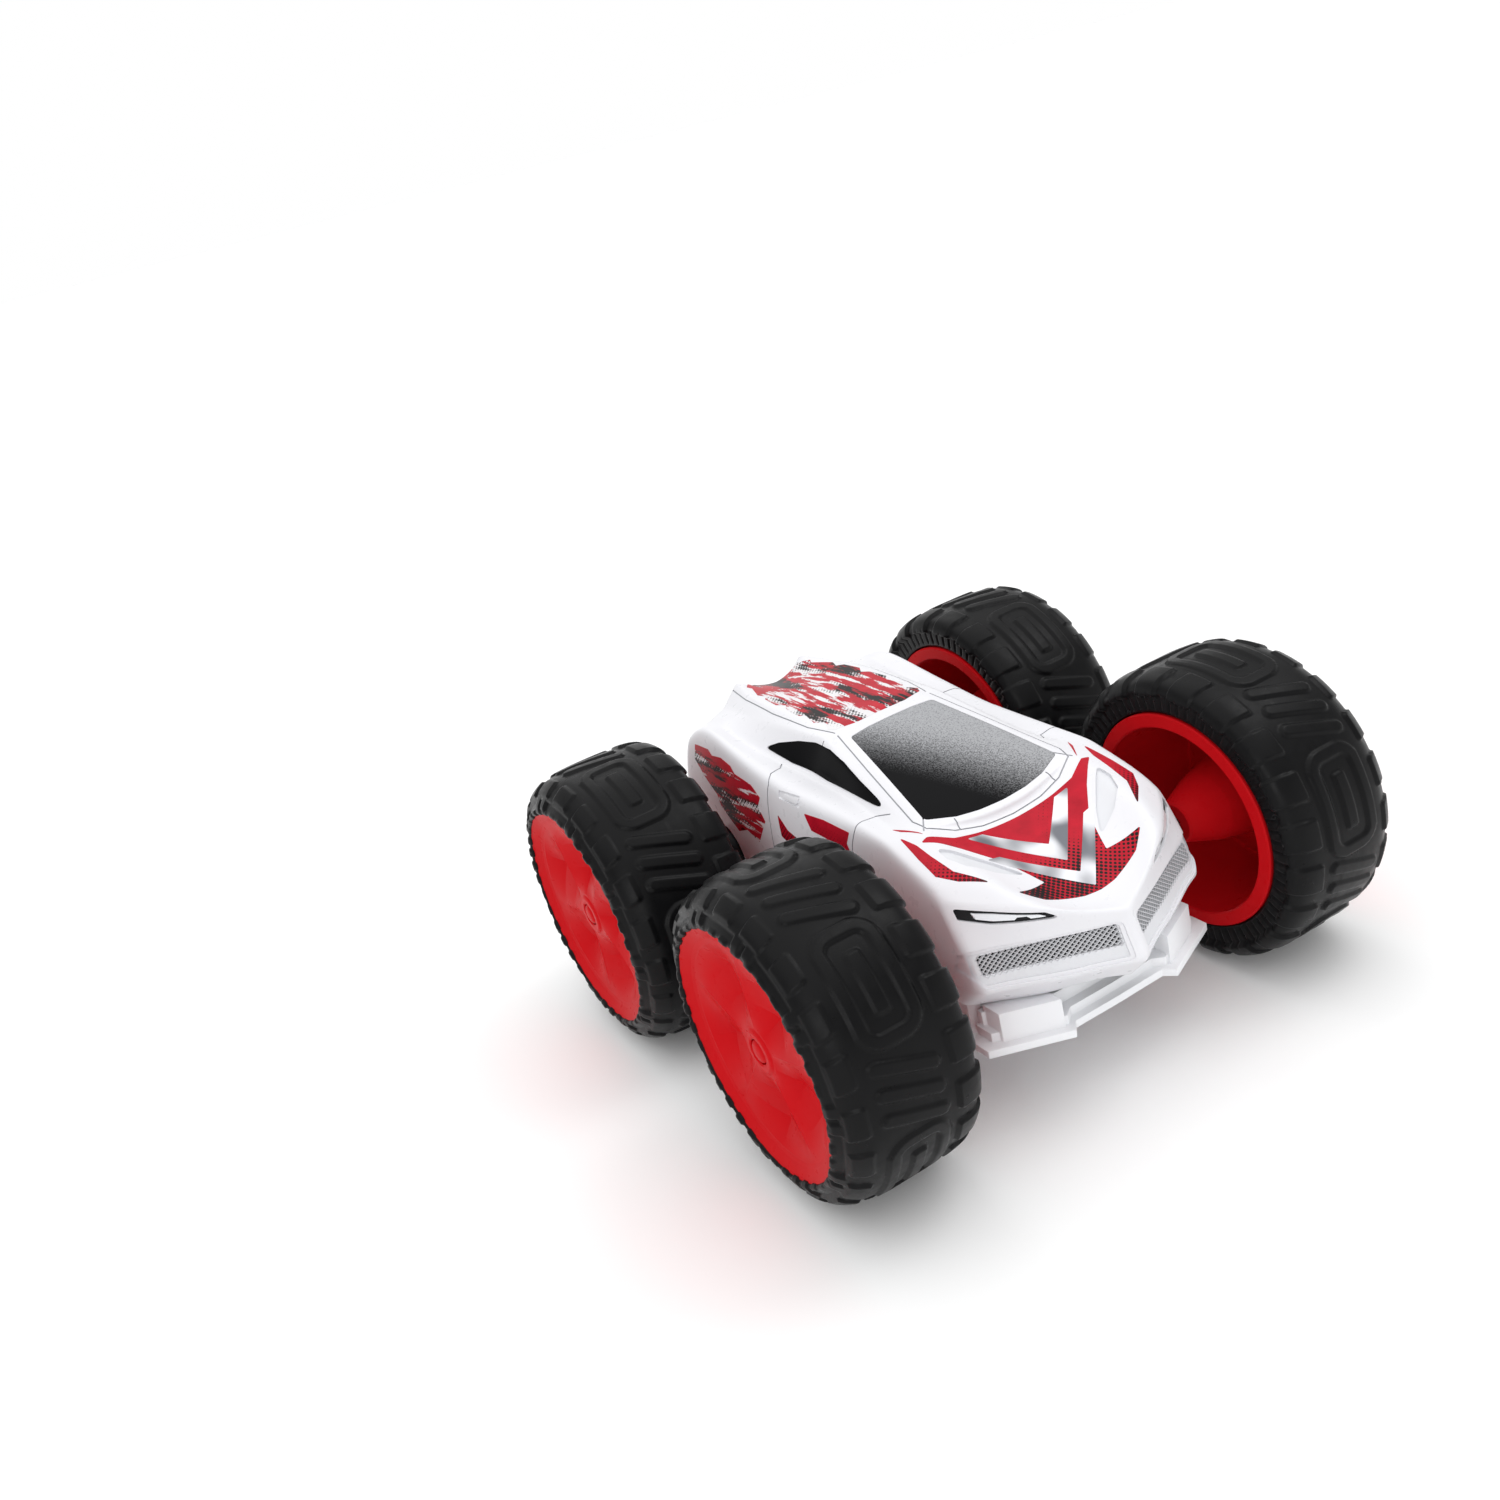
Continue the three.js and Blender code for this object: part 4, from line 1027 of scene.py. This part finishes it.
def build_wheels():
    black = rubber()
    red = moulded("rim_red", rgb(194, 17, 24), 0.3, 0, 0.08, Specular_IOR_Level=0.03)
    tyre, rim = paint(tyre_shape(), black), paint(rim_shape(), red)
    cap = paint(revolved("cap", all_round(CAP, CAP_COLUMNS)), red)
    hub = Matrix.Translation((0, 0, AXLE_Z))
    # Each wheel is turned a little differently, as after a drive.
    for wheel, y, facing, turn in (("front_left", -AXLE_Y, 0, 0), ("front_right", -AXLE_Y, 180, 17),
                                   ("rear_left", AXLE_Y, 0, 31), ("rear_right", AXLE_Y, 180, 48)):
        place = (Matrix.Translation((0, y, 0)) @ Matrix.Rotation(math.radians(facing), 4, "Z")
                 @ hub @ Matrix.Rotation(math.radians(turn), 4, "X") @ hub.inverted())
        for source, kind, slot, sharp in ((tyre, "tyre", "tyre_rubber", 180), (rim, "rim", "rim_red", 7),
                                          (cap, "hub_screw", "rim_red", 35)):
            copy = duplicate(source)
            copy.data.transform(place)
            node = f"{kind}_{wheel}"
            piece(copy, node + "_shape", "wheel_" + wheel, [node], sharp)
    remove(tyre, rim, cap)


def softened(node, finish, width):
    """A copy of a CAD node with its flat faces merged and its edges rounded."""
    source = frame["nodes"][node]
    copy = link(node + "_shape", source.data.copy())
    bm = bmesh.new()
    bm.from_mesh(copy.data)
    bmesh.ops.remove_doubles(bm, verts=bm.verts, dist=1e-6)
    bmesh.ops.scale(bm, verts=bm.verts, vec=(1 / MM,) * 3)
    bmesh.ops.dissolve_limit(bm, angle_limit=math.radians(1), verts=bm.verts, edges=bm.edges)
    bm.to_mesh(copy.data)
    bm.free()
    attributes = copy.data.attributes
    if "custom_normal" in attributes:
        attributes.remove(attributes["custom_normal"])
    bevel = copy.modifiers.new("bevel", "BEVEL")
    bevel.width = width
    bevel.segments = 2
    bevel.angle_limit = math.radians(28)
    apply_modifiers(copy)
    paint(copy, finish)
    piece(copy, node + "_shape", source["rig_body"], [node])


def build_chassis():
    # Painted light: the trim's white is lighter than the shell's, to brighten its shaded faces under the nose.
    lightened_trim = moulded("trim_white", rgb(240, 241, 244), 0.38, 0.012, 0.04, Coat_Weight=0.1)
    for node, width in (("front_bumper", 0.35), ("rear_bumper", 0.35), ("chassis_tub", 0.25),
                        ("battery_door", 0.2)):
        softened(node, lightened_trim, width)
    nylon = moulded("gear_nylon", rgb(226, 222, 206), 0.4, 0.01, 0.05)
    steel = metal("bright_steel", rgb(190, 192, 196), 0.28)
    can = metal("motor_can", rgb(168, 170, 174), 0.34)
    board = moulded("circuit_green", rgb(24, 92, 48), 0.3, 0.02, 0.25)
    wrap = moulded("battery_wrap", rgb(28, 70, 150), 0.22, 0.01, 0.15, Coat_Weight=0.4)
    # Finishes and the width of rounded edges, by how a node's name starts. The first that fits counts.
    by_start = [(("gearbox", "switch_housing", "power_switch"), DARK, 0.2), ("motor_shaft", steel, 0.1),
                (("motor_pinion", "centre_gear", "idler_gear", "drive_gear"), nylon, 0.12),
                ("motor_", can, 0.3), (("axle_", "chassis_screw", "battery_door_screw"), steel, 0.15),
                ("circuit_board", board, 0.15), ("battery_pack", wrap, 0.5)]
    for node in frame["nodes"]:
        for starts, finish, width in by_start:
            if node.startswith(starts):
                softened(node, finish, width)
                break


# ---- camera, light and floor ----
# How bright the sky is, by the sine of the height over the horizon.
SKY = [(0, 1), (0.2, 1), (0.36, 0.55), (0.58, 0.6), (0.8, 1.5), (1, 1.5)]
SKY_STRENGTH = 1.5
CAMERA_ANGLES = (-24.734, 22.763, -14.351)
CAMERA_PLACE = (-0.2079, -0.3462, 0.2578)
CAMERA_LENS = 35.66
# Soft lights: name, place in metres, size in metres and power in watts.
LIGHTS = [("key", (0.5, -0.2, 0.9), 0.4, 1.2), ("side", (-0.8, -0.9, 0.55), 0.5, 2.2),
          ("back", (0.3, 0.9, 0.7), 0.5, 0.6)]
LIT_POINT = Vector((0, 0, AXLE_Z * MM))
FLOOR_HALF = 80


def build_stage():
    azimuth, elevation, roll = (math.radians(a) for a in CAMERA_ANGLES)
    facing = Matrix.Rotation(azimuth, 4, "Z") @ Matrix.Rotation(math.pi / 2 - elevation, 4, "X")
    camera = bpy.data.objects.new("camera", bpy.data.cameras.new("camera"))
    camera.data.lens = CAMERA_LENS
    camera.data.clip_start = 0.01
    camera.data.clip_end = 400
    camera.matrix_world = Matrix.Translation(CAMERA_PLACE) @ facing @ Matrix.Rotation(roll, 4, "Z")
    bpy.context.scene.collection.objects.link(camera)
    bpy.context.scene.camera = camera
    world = bpy.data.worlds.new("studio")
    world.use_nodes = True
    nodes, links = world.node_tree.nodes, world.node_tree.links
    height = nodes.new("ShaderNodeSeparateXYZ")
    links.new(nodes.new("ShaderNodeTexCoord").outputs["Generated"], height.inputs[0])
    sky = nodes.new("ShaderNodeValToRGB")
    links.new(height.outputs["Z"], sky.inputs[0])
    ring = sky.color_ramp.elements
    for place, _ in SKY[1:-1]:
        ring.new(place)
    for stop, (place, light) in zip(ring, SKY):
        stop.position, stop.color = place, (light / SKY_STRENGTH,) * 3 + (1,)
    links.new(sky.outputs[0], nodes["Background"].inputs[0])
    nodes["Background"].inputs[1].default_value = SKY_STRENGTH
    bpy.context.scene.world = world
    for name, place, size, power in LIGHTS:
        light = bpy.data.lights.new(name, "AREA")
        light.size = size
        light.energy = power
        lamp = bpy.data.objects.new(name, light)
        lamp.location = place
        lamp.rotation_euler = (Vector(place) - LIT_POINT).to_track_quat("Z", "Y").to_euler()
        bpy.context.scene.collection.objects.link(lamp)
    corners = [(a * FLOOR_HALF, b * FLOOR_HALF, 0) for a, b in ((-1, -1), (1, -1), (1, 1), (-1, 1))]
    floor = mesh_object("floor", corners, [range(4)], outwards=False)
    matte = Finish("floor_white", Roughness=0.9)
    matte.set("Base Color", matte.mix(matte.noise(0.002), rgb(252, 252, 252), rgb(249, 249, 249)))
    paint(floor, matte)
    bpy.context.scene.view_settings.view_transform = "Standard"


build_stage()
build_shell()
build_panels()
build_films()
build_wheels()
build_chassis()
remove(*LAYERS.values())
